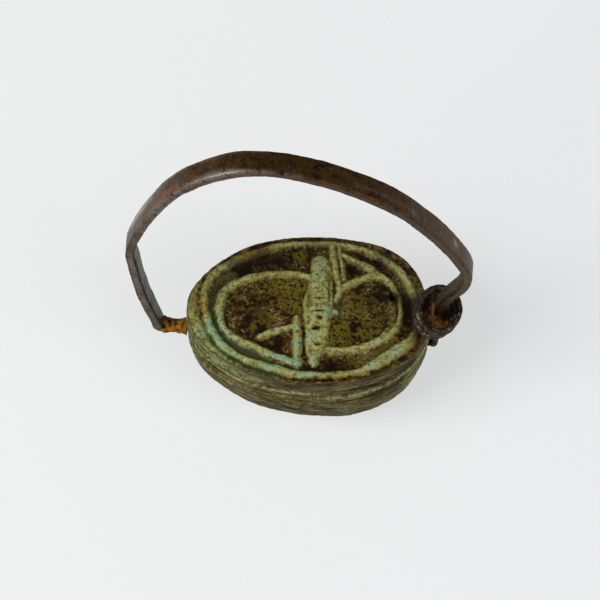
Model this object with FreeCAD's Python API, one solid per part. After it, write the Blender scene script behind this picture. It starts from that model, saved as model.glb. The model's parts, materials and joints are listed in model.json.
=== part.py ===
import FreeCAD, Part
import math
import os

# A swivel ring: a carved stone scarab that turns on a wire in a flat bronze hoop.
# Millimetres.  +X runs along the wire, from the hoop's plain foot to its wound end,
# +Y points away from the viewer and +Z up through the finger hole.  The origin lies on
# the worn flat of the scarab's back, on which the ring stands, under the bore's middle.

# Scarab: the carved face looks up into the finger hole, the back is the domed beetle
SCARAB_LENGTH = 16.2
SCARAB_WIDTH = 11.5
FACE_ABOVE_BORE = 3.0
BACK_BELOW_BORE = 4.2
FACE_TURN_DEG = -8.0
PLATE_THICKNESS = 1.5
PLATE_EDGE_ROUND = 0.22
WAIST_HEIGHT = 0.8
WAIST_INSET = 0.4
BACK_INSET = 0.12
BACK_FULLNESS_SHARE = 2.75
WORN_DEPTH = 0.3
LEG_RIDGE_HEIGHT = 0.3
LEG_RIDGE_INSET = 0.2
LEG_RIDGE_STEP = 0.15
LEG_OVERLAP = 0.8
BACK_GROOVE_WIDTH = 0.28
BACK_GROOVE_DEPTH = 0.22
NECK_LINE_SHARE = -0.667
THORAX_LINE_SHARE = -0.25

# Carving on the face: lines left standing on a sunk ground
CARVING_DEPTH = 0.28
LINE_WIDTH = 0.56
BORDER_LENGTH = 14.3
BORDER_WIDTH = 10.6

# Wire: a straight pin through the bore, then a thinner winding round the hoop's end
PIN_DIAMETER = 0.8
PIN_CLEARANCE = 0.06
MOUTH_DEPTH = 0.4
MOUTH_FLARE = 0.18
NECK_LENGTH = 1.5
WIRE_DIAMETER = 0.6
BEND_REACH = 0.72
BEND_ASIDE = 0.24
BEND_HEIGHT = 1.0
BEND_LEAN_SHARE = 0.36
WINDING_DIAMETER = 2.9
WINDING_TURNS = 2.45
WINDING_START_DEG = 45.0
TURN_GAP = 0.43
WINDING_OFFSET = 0.5
WINDING_BOTTOM = 3.75

# Hoop: a flat band, thinner and narrower towards both ends
HOOP_SPREAD = 2.3
HOOP_HEIGHT = 25.0
BAND_WIDTH = 1.42
BAND_THICKNESS = 0.66
FOOT_MARGIN = 0.15
SHANK_WIDTH = 0.9
SHANK_THICKNESS = 0.56
BAND_CORNER = 0.12

# What cuts go past the surfaces that they open
OVERRUN = 1.0

# Arcs in one turn of the winding, points measured on each, and the share of a length
# under which two directions count as one
ARCS_PER_TURN = 4
POINTS_PER_ARC = 12
STRAIGHT_SHARE = 1e-9

# Outline of the face, as shares of half the length and half the width, from the left tip
# round the far side to the right tip and back along the near side
OUTLINE_SHARES = (
    (-1.0, 0.0), (-0.945, 0.31), (-0.77, 0.61), (-0.50, 0.845), (-0.20, 0.965), (0.10, 1.0),
    (0.40, 0.975), (0.62, 0.885), (0.80, 0.69), (0.92, 0.43), (1.0, 0.0),
    (0.93, -0.36), (0.80, -0.60), (0.60, -0.80), (0.36, -0.925), (0.08, -0.985),
    (-0.22, -0.965), (-0.50, -0.86), (-0.77, -0.63), (-0.945, -0.35),
)
# Depths of the back's sections, as shares of its height
BACK_DEPTH_SHARES = (0.0, 0.25, 0.5, 0.7, 0.84, 0.93, 0.98)

# Carved lines, as shares of half the length and half the width of the scarab
LEFT_LOOP_SHARES = (
    (0.0, 0.46), (-0.195, 0.487), (-0.388, 0.452), (-0.564, 0.384), (-0.686, 0.235),
    (-0.736, 0.01), (-0.707, -0.203), (-0.637, -0.36), (-0.516, -0.477), (-0.399, -0.544),
    (-0.267, -0.637), (-0.135, -0.703), (-0.06, -0.73),
)
RIGHT_LOOP_SHARES = (
    (0.13, -0.527), (0.305, -0.51), (0.431, -0.457), (0.57, -0.336), (0.677, -0.191),
    (0.717, 0.0), (0.727, 0.163), (0.688, 0.351), (0.6, 0.503), (0.501, 0.546),
    (0.373, 0.492), (0.265, 0.384), (0.215, 0.24),
)
SPINDLE_SHARES = (
    (0.047, 0.75), (-0.016, 0.61), (-0.035, 0.3), (-0.05, 0.08), (-0.03, -0.2), (-0.01, -0.42),
    (0.05, -0.7), (0.085, -0.76), (0.12, -0.68), (0.168, -0.4), (0.172, -0.15), (0.18, 0.1),
    (0.155, 0.35), (0.125, 0.62), (0.09, 0.75),
)
LEFT_BAR_SHARES = ((-0.085, -0.16), (-0.078, -0.45), (-0.07, -0.75))
LEFT_SLANT_SHARES = ((-0.44, -0.44), (-0.26, -0.315), (-0.1, -0.24))
RIGHT_BAR_SHARES = ((0.17, 0.9), (0.2, 0.65), (0.235, 0.4))
RIGHT_SLANT_SHARES = ((0.2, 0.82), (0.38, 0.71), (0.56, 0.57))

# The hoop's middle line as shares of its span and of a height, and the width and
# thickness there as shares of the band's.  The first half climbs from the bore to the
# crown, and the second comes down from the crown towards the top of the winding.
FIRST_HALF_SHARES = (
    (-0.478, 0.05, 0.80, 1.12), (-0.492, 0.13, 0.86, 1.04), (-0.509, 0.25, 0.90, 0.98),
    (-0.523, 0.39, 0.94, 0.95), (-0.528, 0.485, 0.96, 0.95), (-0.505, 0.592, 0.97, 0.96),
    (-0.455, 0.725, 0.99, 0.98), (-0.399, 0.833, 1.0, 1.0), (-0.328, 0.913, 1.0, 1.0),
    (-0.224, 0.98, 1.0, 1.0), (-0.121, 1.0, 1.0, 1.0),
)
SECOND_HALF_SHARES = (
    (-0.025, 0.978, 1.0, 1.0), (0.111, 0.897, 1.0, 1.0), (0.25, 0.757, 1.0, 1.0),
    (0.36, 0.562, 0.98, 1.0), (0.433, 0.374, 0.95, 1.0), (0.466, 0.233, 0.88, 0.98),
    (0.455, 0.11, 0.79, 0.94),
)

# Worked out from the sizes above
HALF_LENGTH = SCARAB_LENGTH / 2
HALF_WIDTH = SCARAB_WIDTH / 2
PLATE_BOTTOM = FACE_ABOVE_BORE - PLATE_THICKNESS
BACK_TOP = PLATE_BOTTOM - WAIST_HEIGHT
BACK_HEIGHT = BACK_TOP + BACK_BELOW_BORE
BORE_HEIGHT = BACK_BELOW_BORE - WORN_DEPTH
BORE_RADIUS = PIN_DIAMETER / 2 + PIN_CLEARANCE
FOOT_END = -(HALF_LENGTH + NECK_LENGTH)
FOOT_THICKNESS = PIN_DIAMETER
FOOT_WIDTH = PIN_DIAMETER + FOOT_MARGIN
TURN_RADIUS = (WINDING_DIAMETER - WIRE_DIAMETER) / 2
TURN_PITCH = WIRE_DIAMETER + TURN_GAP
WINDING_X = HALF_LENGTH + WINDING_OFFSET
WINDING_TOP = WINDING_BOTTOM + WINDING_TURNS * TURN_PITCH
SHANK_TOP = WINDING_TOP + WINDING_DIAMETER / 2
HOOP_SPAN = SCARAB_LENGTH + 2 * NECK_LENGTH + HOOP_SPREAD


def vector(x, y, z):
    return FreeCAD.Vector(x, y, z)


X_AXIS = vector(1, 0, 0)
Y_AXIS = vector(0, 1, 0)
Z_AXIS = vector(0, 0, 1)


# Outlines and curves

def smooth_curve(points, closed=False):
    """A smooth curve through the points."""
    curve = Part.BSplineCurve()
    curve.interpolate(Points=points, PeriodicFlag=closed)
    return curve


def outline_points(half_length, half_width, height):
    """The scarab's outline at a height above the bore."""
    return [vector(x * half_length, y * half_width, height) for x, y in OUTLINE_SHARES]


def outline_wire(inset, height, share=1.0):
    """The outline drawn in by an inset and by a share, as a closed wire."""
    points = outline_points((HALF_LENGTH - inset) * share, (HALF_WIDTH - inset) * share, height)
    return Part.Wire([smooth_curve(points, closed=True).toShape()])


def slab(inset, top, bottom):
    """A slice of the scarab's outline between two heights."""
    return Part.Face(outline_wire(inset, bottom)).extrude(Z_AXIS * (top - bottom))


def face_points(shares):
    """Points on the floor of the carving from shares of the scarab's half sizes."""
    floor = FACE_ABOVE_BORE - CARVING_DEPTH
    return [vector(x * HALF_LENGTH, y * HALF_WIDTH, floor) for x, y in shares]


# Scarab

def plate():
    """The flat plate that carries the carved face, with worn edges."""
    body = slab(0, FACE_ABOVE_BORE, PLATE_BOTTOM)
    rims = [edge for edge in body.Edges
            if abs(edge.BoundBox.ZMin - FACE_ABOVE_BORE) < PLATE_EDGE_ROUND]
    return body.makeFillet(PLATE_EDGE_ROUND, rims)


def leg_ridge(top, at_head):
    """A leg: a long low ridge round one end of the waist, the head's or the tail's."""
    ring = slab(LEG_RIDGE_INSET, top, top - LEG_RIDGE_HEIGHT)
    start = -HALF_LENGTH - OVERRUN if at_head else -LEG_OVERLAP
    room = Part.makeBox(HALF_LENGTH + OVERRUN + LEG_OVERLAP, SCARAB_WIDTH + 2 * OVERRUN,
                        LEG_RIDGE_HEIGHT + 2 * OVERRUN,
                        vector(start, -HALF_WIDTH - OVERRUN, top - LEG_RIDGE_HEIGHT - OVERRUN))
    return ring.common(room)


def back():
    """The domed back as a loft of outlines that close towards the bottom."""
    wires = []
    for depth in BACK_DEPTH_SHARES:
        share = (1 - depth ** BACK_FULLNESS_SHARE) ** (1 / BACK_FULLNESS_SHARE)
        wires.append(outline_wire(BACK_INSET, BACK_TOP - depth * BACK_HEIGHT, share))
    return Part.makeLoft(wires, True, False)


def back_grooves(dome):
    """The lines behind the head, behind the thorax and between the wing cases."""
    core = dome.copy()
    core.translate(Z_AXIS * BACK_GROOVE_DEPTH)
    deep = BACK_HEIGHT + OVERRUN
    wide = SCARAB_WIDTH + 2 * OVERRUN
    bottom = -BACK_BELOW_BORE - OVERRUN
    neck_x = NECK_LINE_SHARE * HALF_LENGTH
    thorax_x = THORAX_LINE_SHARE * HALF_LENGTH
    neck = Part.makeBox(BACK_GROOVE_WIDTH, wide, deep, vector(neck_x, -wide / 2, bottom))
    thorax = Part.makeBox(BACK_GROOVE_WIDTH, wide, deep, vector(thorax_x, -wide / 2, bottom))
    wings = Part.makeBox(HALF_LENGTH - thorax_x, BACK_GROOVE_WIDTH, deep,
                         vector(thorax_x, -BACK_GROOVE_WIDTH / 2, bottom))
    return neck.fuse([thorax, wings]).cut(core)


def carved_line(shares):
    """A raised line of even width that follows the points."""
    curve = smooth_curve(face_points(shares))
    edge = curve.toShape()
    first, last = edge.ParameterRange
    count = 2 * len(shares)
    left, right = [], []
    for i in range(count + 1):
        at = first + (last - first) * i / count
        here = edge.valueAt(at)
        ahead = edge.tangentAt(at)
        aside = vector(-ahead.y, ahead.x, 0) * (LINE_WIDTH / 2)
        left.append(here + aside)
        right.append(here - aside)
    sides = [smooth_curve(left).toShape(), smooth_curve(right).toShape()]
    ends = [Part.makeLine(left[0], right[0]), Part.makeLine(left[-1], right[-1])]
    wire = Part.Wire(Part.__sortEdges__(sides + ends))
    return Part.Face(wire).extrude(Z_AXIS * (CARVING_DEPTH + OVERRUN))


def carved_spindle():
    """The upright spindle in the middle of the face."""
    curve = smooth_curve(face_points(SPINDLE_SHARES), closed=True)
    return Part.Face(Part.Wire([curve.toShape()])).extrude(Z_AXIS * (CARVING_DEPTH + OVERRUN))


def ellipse_prism(length, width):
    """An elliptical prism that stands on the floor of the carving."""
    floor = vector(0, 0, FACE_ABOVE_BORE - CARVING_DEPTH)
    edge = Part.Ellipse(floor, length / 2, width / 2).toShape()
    return Part.Face(Part.Wire([edge])).extrude(Z_AXIS * (CARVING_DEPTH + OVERRUN))


def carving():
    """What is cut from the face: the ground inside the border, less the raised lines."""
    ground = ellipse_prism(BORDER_LENGTH - LINE_WIDTH, BORDER_WIDTH - LINE_WIDTH)
    for shares in (LEFT_LOOP_SHARES, RIGHT_LOOP_SHARES, LEFT_BAR_SHARES, LEFT_SLANT_SHARES,
                   RIGHT_BAR_SHARES, RIGHT_SLANT_SHARES):
        ground = ground.cut(carved_line(shares))
    return ground.cut(carved_spindle())


def bore():
    """The hole from end to end, with flared mouths."""
    length = SCARAB_LENGTH + 2 * OVERRUN
    hole = Part.makeCylinder(BORE_RADIUS, length, vector(-length / 2, 0, 0), X_AXIS)
    wide = BORE_RADIUS + MOUTH_FLARE
    left = Part.makeCone(wide, BORE_RADIUS, MOUTH_DEPTH, vector(-HALF_LENGTH, 0, 0), X_AXIS)
    right = Part.makeCone(wide, BORE_RADIUS, MOUTH_DEPTH, vector(HALF_LENGTH, 0, 0), -X_AXIS)
    return hole.fuse([left, right])


def scarab():
    """The whole scarab, turned on the wire as it rests and worn flat underneath."""
    dome = back()
    dome = dome.cut(back_grooves(dome))
    body = plate().cut(carving())
    body = body.fuse([
        slab(WAIST_INSET, PLATE_BOTTOM, BACK_TOP),
        leg_ridge(PLATE_BOTTOM - LEG_RIDGE_STEP, at_head=True),
        leg_ridge(BACK_TOP + LEG_RIDGE_STEP + LEG_RIDGE_HEIGHT, at_head=False),
        dome,
    ]).cut(bore())
    body.rotate(vector(0, 0, 0), X_AXIS, FACE_TURN_DEG)
    keep = Part.makeBox(SCARAB_LENGTH + 2 * OVERRUN, SCARAB_LENGTH, SCARAB_LENGTH,
                        vector(-HALF_LENGTH - OVERRUN, -SCARAB_LENGTH / 2, -BORE_HEIGHT))
    return body.common(keep)


# Hoop

def band_section(centre, along, width, thickness):
    """A rounded rectangle square to the hoop's middle line, wide along Y."""
    out = along.cross(Y_AXIS)
    half_w = width / 2
    half_t = thickness / 2
    corner = BAND_CORNER * thickness / BAND_THICKNESS
    mid = corner * (1 - math.sqrt(0.5))

    def at(y, t):
        return centre + Y_AXIS * y + out * t

    edges = []
    signs = ((1, 1), (-1, 1), (-1, -1), (1, -1))
    for i, (sy, st) in enumerate(signs):
        on_side = at(sy * half_w, st * (half_t - corner))
        on_face = at(sy * (half_w - corner), st * half_t)
        middle = at(sy * (half_w - mid), st * (half_t - mid))
        start, end = (on_side, on_face) if i % 2 == 0 else (on_face, on_side)
        edges.append(Part.Arc(start, middle, end).toShape())
    corners = [edges[0]]
    for arc in edges[1:]:
        corners.append(Part.makeLine(corners[-1].lastVertex().Point, arc.firstVertex().Point))
        corners.append(arc)
    corners.append(Part.makeLine(corners[-1].lastVertex().Point, edges[0].firstVertex().Point))
    return Part.Wire(corners)


def hoop_stations():
    """Places, widths and thicknesses along the hoop, from the foot's end to the shank's."""
    stations = [(vector(FOOT_END, 0, 0), FOOT_WIDTH, FOOT_THICKNESS),
                (vector(FOOT_END - FOOT_THICKNESS / 2, 0, FOOT_THICKNESS / 6),
                 FOOT_WIDTH, FOOT_THICKNESS)]
    for shares, base in ((FIRST_HALF_SHARES, 0), (SECOND_HALF_SHARES, SHANK_TOP)):
        for x, z, w, t in shares:
            place = vector(x * HOOP_SPAN, 0, base + z * (HOOP_HEIGHT - base))
            stations.append((place, w * BAND_WIDTH, t * BAND_THICKNESS))
    stations.append((vector(WINDING_X + WIRE_DIAMETER / 2, 0, SHANK_TOP),
                     (SHANK_WIDTH + stations[-1][1]) / 2, SHANK_THICKNESS))
    stations.append((vector(WINDING_X, 0, WINDING_TOP), SHANK_WIDTH, SHANK_THICKNESS))
    stations.append((vector(WINDING_X, 0, WINDING_BOTTOM + WIRE_DIAMETER),
                     SHANK_WIDTH, SHANK_THICKNESS))
    return stations


def hoop():
    """The band as one loft along its middle line."""
    stations = hoop_stations()
    curve = Part.BSplineCurve()
    curve.interpolate(Points=[place for place, _, _ in stations],
                      InitialTangent=-X_AXIS, FinalTangent=-Z_AXIS)
    wires = []
    for place, width, thickness in stations:
        along = curve.tangent(curve.parameter(place))[0]
        wires.append(band_section(place, along, width, thickness))
    return Part.makeLoft(wires, True, False)


# Swivel wire

def arc_from(start, direction, end):
    """The arc that leaves start along a direction and reaches end."""
    chord = end - start
    away = direction.normalize()
    if away.cross(chord).Length < STRAIGHT_SHARE * chord.Length:
        return Part.makeLine(start, end)
    side = (chord - away * chord.dot(away)).normalize()
    radius = chord.Length ** 2 / (2 * chord.dot(side))
    centre = start + side * radius
    middle = (start + end) * 0.5 - centre
    return Part.Arc(start, centre + middle.normalize() * radius, end).toShape()


def biarc(start, leave, end, arrive):
    """Two arcs that meet smoothly, from one point and direction to another."""
    chord = end - start
    sum_of = leave + arrive
    a = 2 * (1 - leave.dot(arrive))
    b = chord.dot(sum_of)
    c = chord.dot(chord)
    reach = (-b + math.sqrt(b * b + a * c)) / a if a > STRAIGHT_SHARE else c / (2 * b)
    first = start + leave * reach
    second = end - arrive * reach
    joint = (first + second) * 0.5
    return [arc_from(start, vector(*leave), joint),
            arc_from(joint, second - first, end)]


def winding_point(turn):
    """A place on the winding and its direction; turns go clockwise from above."""
    angle = math.radians(WINDING_START_DEG) - 2 * math.pi * turn
    place = vector(WINDING_X + TURN_RADIUS * math.cos(angle), TURN_RADIUS * math.sin(angle),
                   WINDING_BOTTOM + TURN_PITCH * turn)
    rise = TURN_PITCH / (2 * math.pi)
    along = vector(TURN_RADIUS * math.sin(angle), -TURN_RADIUS * math.cos(angle), rise)
    return place, along.normalize()


def winding_path():
    """Bend out of the bore, climb behind the winding and go round the shank."""
    nodes = [
        (vector(HALF_LENGTH, 0, 0), vector(1, 0, 0)),
        (vector(HALF_LENGTH + BEND_REACH, BEND_ASIDE, BEND_HEIGHT),
         vector(0, BEND_LEAN_SHARE, 1).normalize()),
    ]
    arcs = math.ceil(WINDING_TURNS * ARCS_PER_TURN)
    for i in range(arcs + 1):
        nodes.append(winding_point(WINDING_TURNS * i / arcs))
    edges = []
    for (start, leave), (end, arrive) in zip(nodes, nodes[1:]):
        edges += biarc(start, leave, end, arrive)
    return edges


def tube(edges, diameter):
    """A round tube along tangent arcs."""
    first = edges[0]
    along = first.tangentAt(first.FirstParameter)
    ring = Part.makeCircle(diameter / 2, first.valueAt(first.FirstParameter), along)
    return Part.Wire(edges).makePipeShell([Part.Wire([ring])], True, False)


def report_winding(edges, shape):
    """Prints the tightest bend, the volume check and the least gap of the winding."""
    radii = [edge.Curve.Radius for edge in edges if hasattr(edge.Curve, "Radius")]
    length = sum(edge.Length for edge in edges)
    section = math.pi * WIRE_DIAMETER ** 2 / 4
    print("winding: tightest bend", round(min(radii), 3), "wire", WIRE_DIAMETER)
    print("winding: volume over section times length", round(shape.Volume / section / length, 4))
    points, marks, run = [], [], 0.0
    for edge in edges:
        for i in range(POINTS_PER_ARC):
            share = i / POINTS_PER_ARC
            at = edge.FirstParameter + (edge.LastParameter - edge.FirstParameter) * share
            points.append(edge.valueAt(at))
            marks.append(run + edge.Length * share)
        run += edge.Length
    least = min(
        (points[i] - points[j]).Length
        for i in range(len(points)) for j in range(i)
        if marks[i] - marks[j] > math.pi * TURN_RADIUS
    )
    print("winding: least gap to itself", round(least - WIRE_DIAMETER, 3))


def swivel_wire():
    """The pin through the bore and the winding, as one length of wire."""
    taper_start = HALF_LENGTH - MOUTH_DEPTH
    pin = Part.makeCylinder(PIN_DIAMETER / 2, taper_start - FOOT_END,
                            vector(FOOT_END, 0, 0), X_AXIS)
    taper = Part.makeCone(PIN_DIAMETER / 2, WIRE_DIAMETER / 2, MOUTH_DEPTH,
                          vector(taper_start, 0, 0), X_AXIS)
    edges = winding_path()
    winding = tube(edges, WIRE_DIAMETER)
    report_winding(edges, winding)
    return pin.fuse([taper, winding])


def main():
    """Builds each piece round the bore and lifts it until the worn flat is at zero."""
    os.makedirs("parts", exist_ok=True)
    pieces = {"scarab": scarab, "hoop": hoop, "swivel_wire": swivel_wire}
    for name, make in pieces.items():
        shape = make()
        shape.translate(Z_AXIS * BORE_HEIGHT)
        solids = len(shape.Solids)
        print(name, "solids", solids, "valid", shape.isValid(), "volume", round(shape.Volume, 3))
        shape.exportStep(os.path.join("parts", name + ".step"))


main()
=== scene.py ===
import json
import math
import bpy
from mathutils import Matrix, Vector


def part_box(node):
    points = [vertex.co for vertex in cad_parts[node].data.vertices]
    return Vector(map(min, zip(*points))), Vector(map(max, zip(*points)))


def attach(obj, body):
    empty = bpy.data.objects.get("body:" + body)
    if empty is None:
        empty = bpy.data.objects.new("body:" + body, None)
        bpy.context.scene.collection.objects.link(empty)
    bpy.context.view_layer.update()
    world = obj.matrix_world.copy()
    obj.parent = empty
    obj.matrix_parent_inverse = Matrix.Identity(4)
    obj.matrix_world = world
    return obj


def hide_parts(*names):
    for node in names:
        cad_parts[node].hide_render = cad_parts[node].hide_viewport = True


bl_info = {
    "name": "Scarab swivel ring",
    "version": (1, 0, 0),
    "blender": (4, 5, 0),
    "location": "3D View > Sidebar > Ring",
    "description": "Builds a carved glazed scarab on a wire in a hammered bronze hoop",
    "category": "Add Mesh",
}

import bpy
import numpy as np
from bpy.props import FloatProperty, FloatVectorProperty, IntProperty, PointerProperty
from bpy.types import Operator, Panel, PropertyGroup
from mathutils import Matrix, Vector, noise

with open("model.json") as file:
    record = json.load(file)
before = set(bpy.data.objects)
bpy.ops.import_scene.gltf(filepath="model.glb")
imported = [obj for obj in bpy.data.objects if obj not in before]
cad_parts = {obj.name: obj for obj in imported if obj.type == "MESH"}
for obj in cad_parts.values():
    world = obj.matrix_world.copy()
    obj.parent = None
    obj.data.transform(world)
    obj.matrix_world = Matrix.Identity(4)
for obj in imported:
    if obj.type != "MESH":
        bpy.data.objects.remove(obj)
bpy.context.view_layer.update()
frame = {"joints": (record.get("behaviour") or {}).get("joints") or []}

# The meshes are worked out in millimetres and written in metres
MM = 0.001

# Places taken from the frame: the bore's middle and the scarab's box
BORE = Vector(frame["joints"][0]["pos_m"])
SCARAB_LOW, SCARAB_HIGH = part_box("scarab")


def linear(hex_colour):
    """A colour written as sRGB hex, as the linear values that the shaders use."""
    channels = [int(hex_colour[i:i + 2], 16) / 255 for i in (1, 3, 5)]
    return [c / 12.92 if c <= 0.04045 else ((c + 0.055) / 1.055) ** 2.4 for c in channels]


# Scarab: outline of the face as shares of half its length and half its width
OUTLINE_SHARES = (
    (-1.0, 0.0), (-0.93, 0.3), (-0.765, 0.595), (-0.5, 0.852), (-0.2, 0.985), (0.1, 1.024),
    (0.4, 0.998), (0.62, 0.912), (0.8, 0.71), (0.915, 0.43), (1.0, 0.0), (0.93, -0.36),
    (0.8, -0.6), (0.6, -0.8), (0.36, -0.925), (0.08, -0.985), (-0.22, -0.965), (-0.5, -0.86),
    (-0.77, -0.63), (-0.945, -0.35),
)

# Carved lines on the face: x and y from the middle of the bore and the line's width, in
# millimetres
BORDER_LINE = (
    (0.11, 5.35, 0.4), (1.45, 5.38, 0.4), (3.19, 5.1, 0.42), (4.86, 4.35, 0.46),
    (5.96, 3.36, 0.48), (6.74, 1.85, 0.48), (7.09, 0.08, 0.45), (6.88, -1.66, 0.55),
    (6.3, -2.3, 0.88), (5.08, -3.42, 0.78), (4.18, -4.08, 0.6), (3.3, -4.5, 0.5),
    (2.2, -4.76, 0.5), (0.8, -4.9, 0.48), (-0.6, -4.92, 0.56), (-2.03, -4.6, 0.56),
    (-3.94, -4.06, 0.46), (-5.53, -3.02, 0.5), (-6.49, -1.59, 0.52), (-6.97, 0.05, 0.48),
    (-6.96, 1.51, 0.5), (-6.19, 2.81, 0.52), (-4.47, 3.98, 0.5), (-2.54, 4.88, 0.46),
    (-1.2, 5.18, 0.42),
)
LEFT_LOOP = (
    (0.05, 2.65, 0.42), (-1.05, 2.82, 0.46), (-2.38, 2.75, 0.5), (-3.5, 2.5, 0.54),
    (-4.61, 2.02, 0.56), (-5.42, 1.42, 0.56), (-5.82, 0.81, 0.54), (-5.96, 0.0, 0.52),
    (-5.87, -0.88, 0.5), (-5.56, -1.7, 0.48), (-4.92, -2.34, 0.48), (-4.23, -2.74, 0.5),
    (-3.45, -3.03, 0.52), (-2.67, -3.4, 0.54), (-1.89, -3.7, 0.56), (-0.55, -4.08, 0.56),
)
RIGHT_LOOP = (
    (1.72, 1.05, 0.4), (2.14, 1.96, 0.46), (2.68, 2.45, 0.52), (3.41, 2.85, 0.54),
    (4.16, 3.07, 0.58), (4.73, 2.97, 0.54), (5.23, 2.51, 0.48), (5.55, 1.93, 0.44),
    (5.92, 1.22, 0.34), (6.03, 0.45, 0.34), (5.99, -0.45, 0.38), (5.66, -1.14, 0.5),
    (5.0, -1.76, 0.6), (4.28, -2.26, 0.62), (3.37, -2.69, 0.6), (2.54, -2.9, 0.57),
    (1.6, -2.95, 0.56), (1.04, -2.92, 0.5),
)
SPINDLE = (
    (0.47, 4.46), (0.09, 4.3), (-0.11, 4.0), (-0.11, 3.37), (-0.08, 2.72), (-0.2, 1.79),
    (-0.37, 0.98), (-0.37, 0.13), (-0.3, -0.71), (-0.14, -1.41), (-0.09, -2.18), (-0.03, -2.83),
    (0.18, -3.5), (0.4, -4.02), (0.6, -4.24), (0.86, -3.98), (1.02, -3.45), (1.21, -2.93),
    (1.32, -2.4), (1.33, -1.82), (1.38, -1.1), (1.43, -0.32), (1.48, 0.27), (1.5, 0.9),
    (1.42, 1.84), (1.31, 2.69), (1.12, 3.66), (0.82, 4.3),
)
LEFT_BAR = ((-0.8, -0.55, 0.34), (-0.7, -1.61, 0.54), (-0.61, -2.71, 0.6), (-0.5, -4.2, 0.56))
LEFT_SLANT = (
    (-3.12, -2.24, 0.44), (-2.42, -1.86, 0.5), (-1.51, -1.5, 0.48), (-0.85, -1.22, 0.42),
)
RIGHT_BARS = (
    ((1.14, 5.2, 0.46), (1.31, 4.16, 0.5), (1.58, 3.05, 0.46), (1.9, 1.9, 0.44)),
    ((1.62, 5.15, 0.28), (1.86, 3.98, 0.3), (2.12, 2.6, 0.28)),
)
RIGHT_SLANT = ((1.75, 4.6, 0.34), (2.95, 4.06, 0.46), (3.83, 3.6, 0.48), (4.7, 2.98, 0.46))
INNER_SHELF = (
    (5.15, 1.8, 0.36), (5.45, 0.95, 0.6), (5.52, 0.1, 0.66), (5.42, -0.7, 0.62), (5.0, -1.4, 0.4),
)
SPINDLE_NUB = ((1.1, -0.08, 0.64), (1.54, 0.02, 0.58), (1.72, 0.06, 0.4))

# Cuts in the spindle: x, y, half width, half height and depth as a share of the carving's
SPINDLE_CUTS = (
    (0.6, 1.52, 0.34, 0.1, 0.3), (0.66, 1.05, 0.4, 0.08, 0.5), (0.68, 0.62, 0.44, 0.07, 0.45),
    (0.62, 0.06, 0.46, 0.1, 0.7), (0.74, -0.46, 0.19, 0.14, 1.1), (0.54, -1.3, 0.26, 0.15, 1.1),
    (0.62, -0.95, 0.2, 0.06, 0.5), (0.75, -2.55, 0.22, 0.12, 0.7), (0.3, -3.1, 0.1, 0.3, 0.4),
    (-0.02, 0.7, 0.17, 1.1, 0.45), (0.0, -0.7, 0.08, 0.5, 0.4), (0.5, 2.3, 0.3, 0.14, 0.2),
    (0.7, 3.4, 0.12, 0.3, 0.3), (0.2, 3.9, 0.14, 0.1, 0.3),
)
SPINDLE_GROOVE = ((1.1, 3.1, 0.14), (1.15, 2.4, 0.14), (1.2, 1.5, 0.14), (1.25, 0.5, 0.14))

# Pits in the face: x, y, reach and depth in millimetres
FACE_PITS = (
    (5.48, 1.58, 0.26, 0.6), (-3.0, -1.9, 0.12, 0.1), (-2.2, 4.0, 0.14, 0.1),
    (2.9, 3.5, 0.5, 0.12), (1.9, -2.2, 0.25, 0.1), (-4.6, 3.1, 0.3, 0.05),
    (4.1, 4.35, 0.12, 0.08),
)

# Where the face's colour shifts: x, y and reach in millimetres, and the strength as a share
TEAL_PATCHES = (
    (-7.6, -0.4, 0.6, 0.5), (-7.5, 1.3, 0.6, 0.3), (-7.0, -2.1, 0.6, 0.7), (6.2, -2.4, 0.5, 0.7),
    (5.9, 3.0, 0.5, 0.5), (0.6, 3.2, 0.5, 0.4), (2.9, 4.9, 0.6, 0.3), (-5.9, -0.9, 0.5, 0.5),
    (-6.4, -1.5, 0.9, 0.7), (-5.6, -2.8, 0.9, 0.8), (-4.4, -3.7, 0.8, 0.6),
    (-2.4, -4.5, 0.9, 0.7), (-0.7, -2.6, 0.45, 1.0), (-0.7, -4.1, 0.7, 0.9),
    (-1.9, -3.9, 0.8, 0.6), (-2.0, -1.7, 0.5, 0.5), (-0.9, -1.3, 0.4, 0.7),
    (1.45, 0.0, 0.55, 1.1), (0.2, -0.2, 0.5, 0.5), (0.3, -2.0, 0.6, 0.6), (0.4, 3.9, 0.6, 0.4),
    (0.3, -5.0, 0.9, 0.8), (-5.7, 0.9, 0.6, 0.4), (-0.2, 1.2, 0.4, 0.6), (4.6, -1.9, 0.7, 0.4),
    (5.9, -0.2, 0.5, 0.3), (0.5, -3.7, 0.5, 0.5), (5.5, -3.1, 0.8, 0.55), (4.4, -3.9, 0.6, 0.6),
    (0.6, 2.4, 0.6, 0.4), (4.7, 4.2, 0.6, 0.4), (3.6, 3.6, 0.5, 0.3),
)
GREEN_PATCHES = (
    (-6.9, -2.7, 0.65, 0.8), (-6.2, -3.5, 0.65, 0.9), (-5.3, -4.2, 0.65, 0.9),
    (-4.2, -4.8, 0.65, 0.9), (-3.1, -5.2, 0.65, 0.9), (-2.0, -5.45, 0.65, 0.8),
    (-7.4, 0.6, 0.5, 0.4), (-6.9, 2.3, 0.5, 0.4), (-6.45, 0.3, 0.62, 0.6),
    (-6.4, -0.7, 0.62, 0.8), (-6.1, -1.7, 0.62, 0.9), (-5.5, -2.5, 0.62, 0.9),
    (-4.7, -3.1, 0.62, 0.8), (-3.7, -3.6, 0.62, 0.8), (-2.7, -4.1, 0.62, 0.7),
    (-6.2, 1.5, 0.62, 0.4), (-5.6, 2.3, 0.5, 0.5), (5.5, -2.7, 0.6, 0.5), (4.6, -3.3, 0.6, 0.4),
    (5.3, 0.3, 0.5, 0.3), (1.9, 0.6, 0.62, 0.5), (6.4, 2.0, 0.62, 0.5), (-1.5, -4.6, 0.62, 0.4),
)
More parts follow.
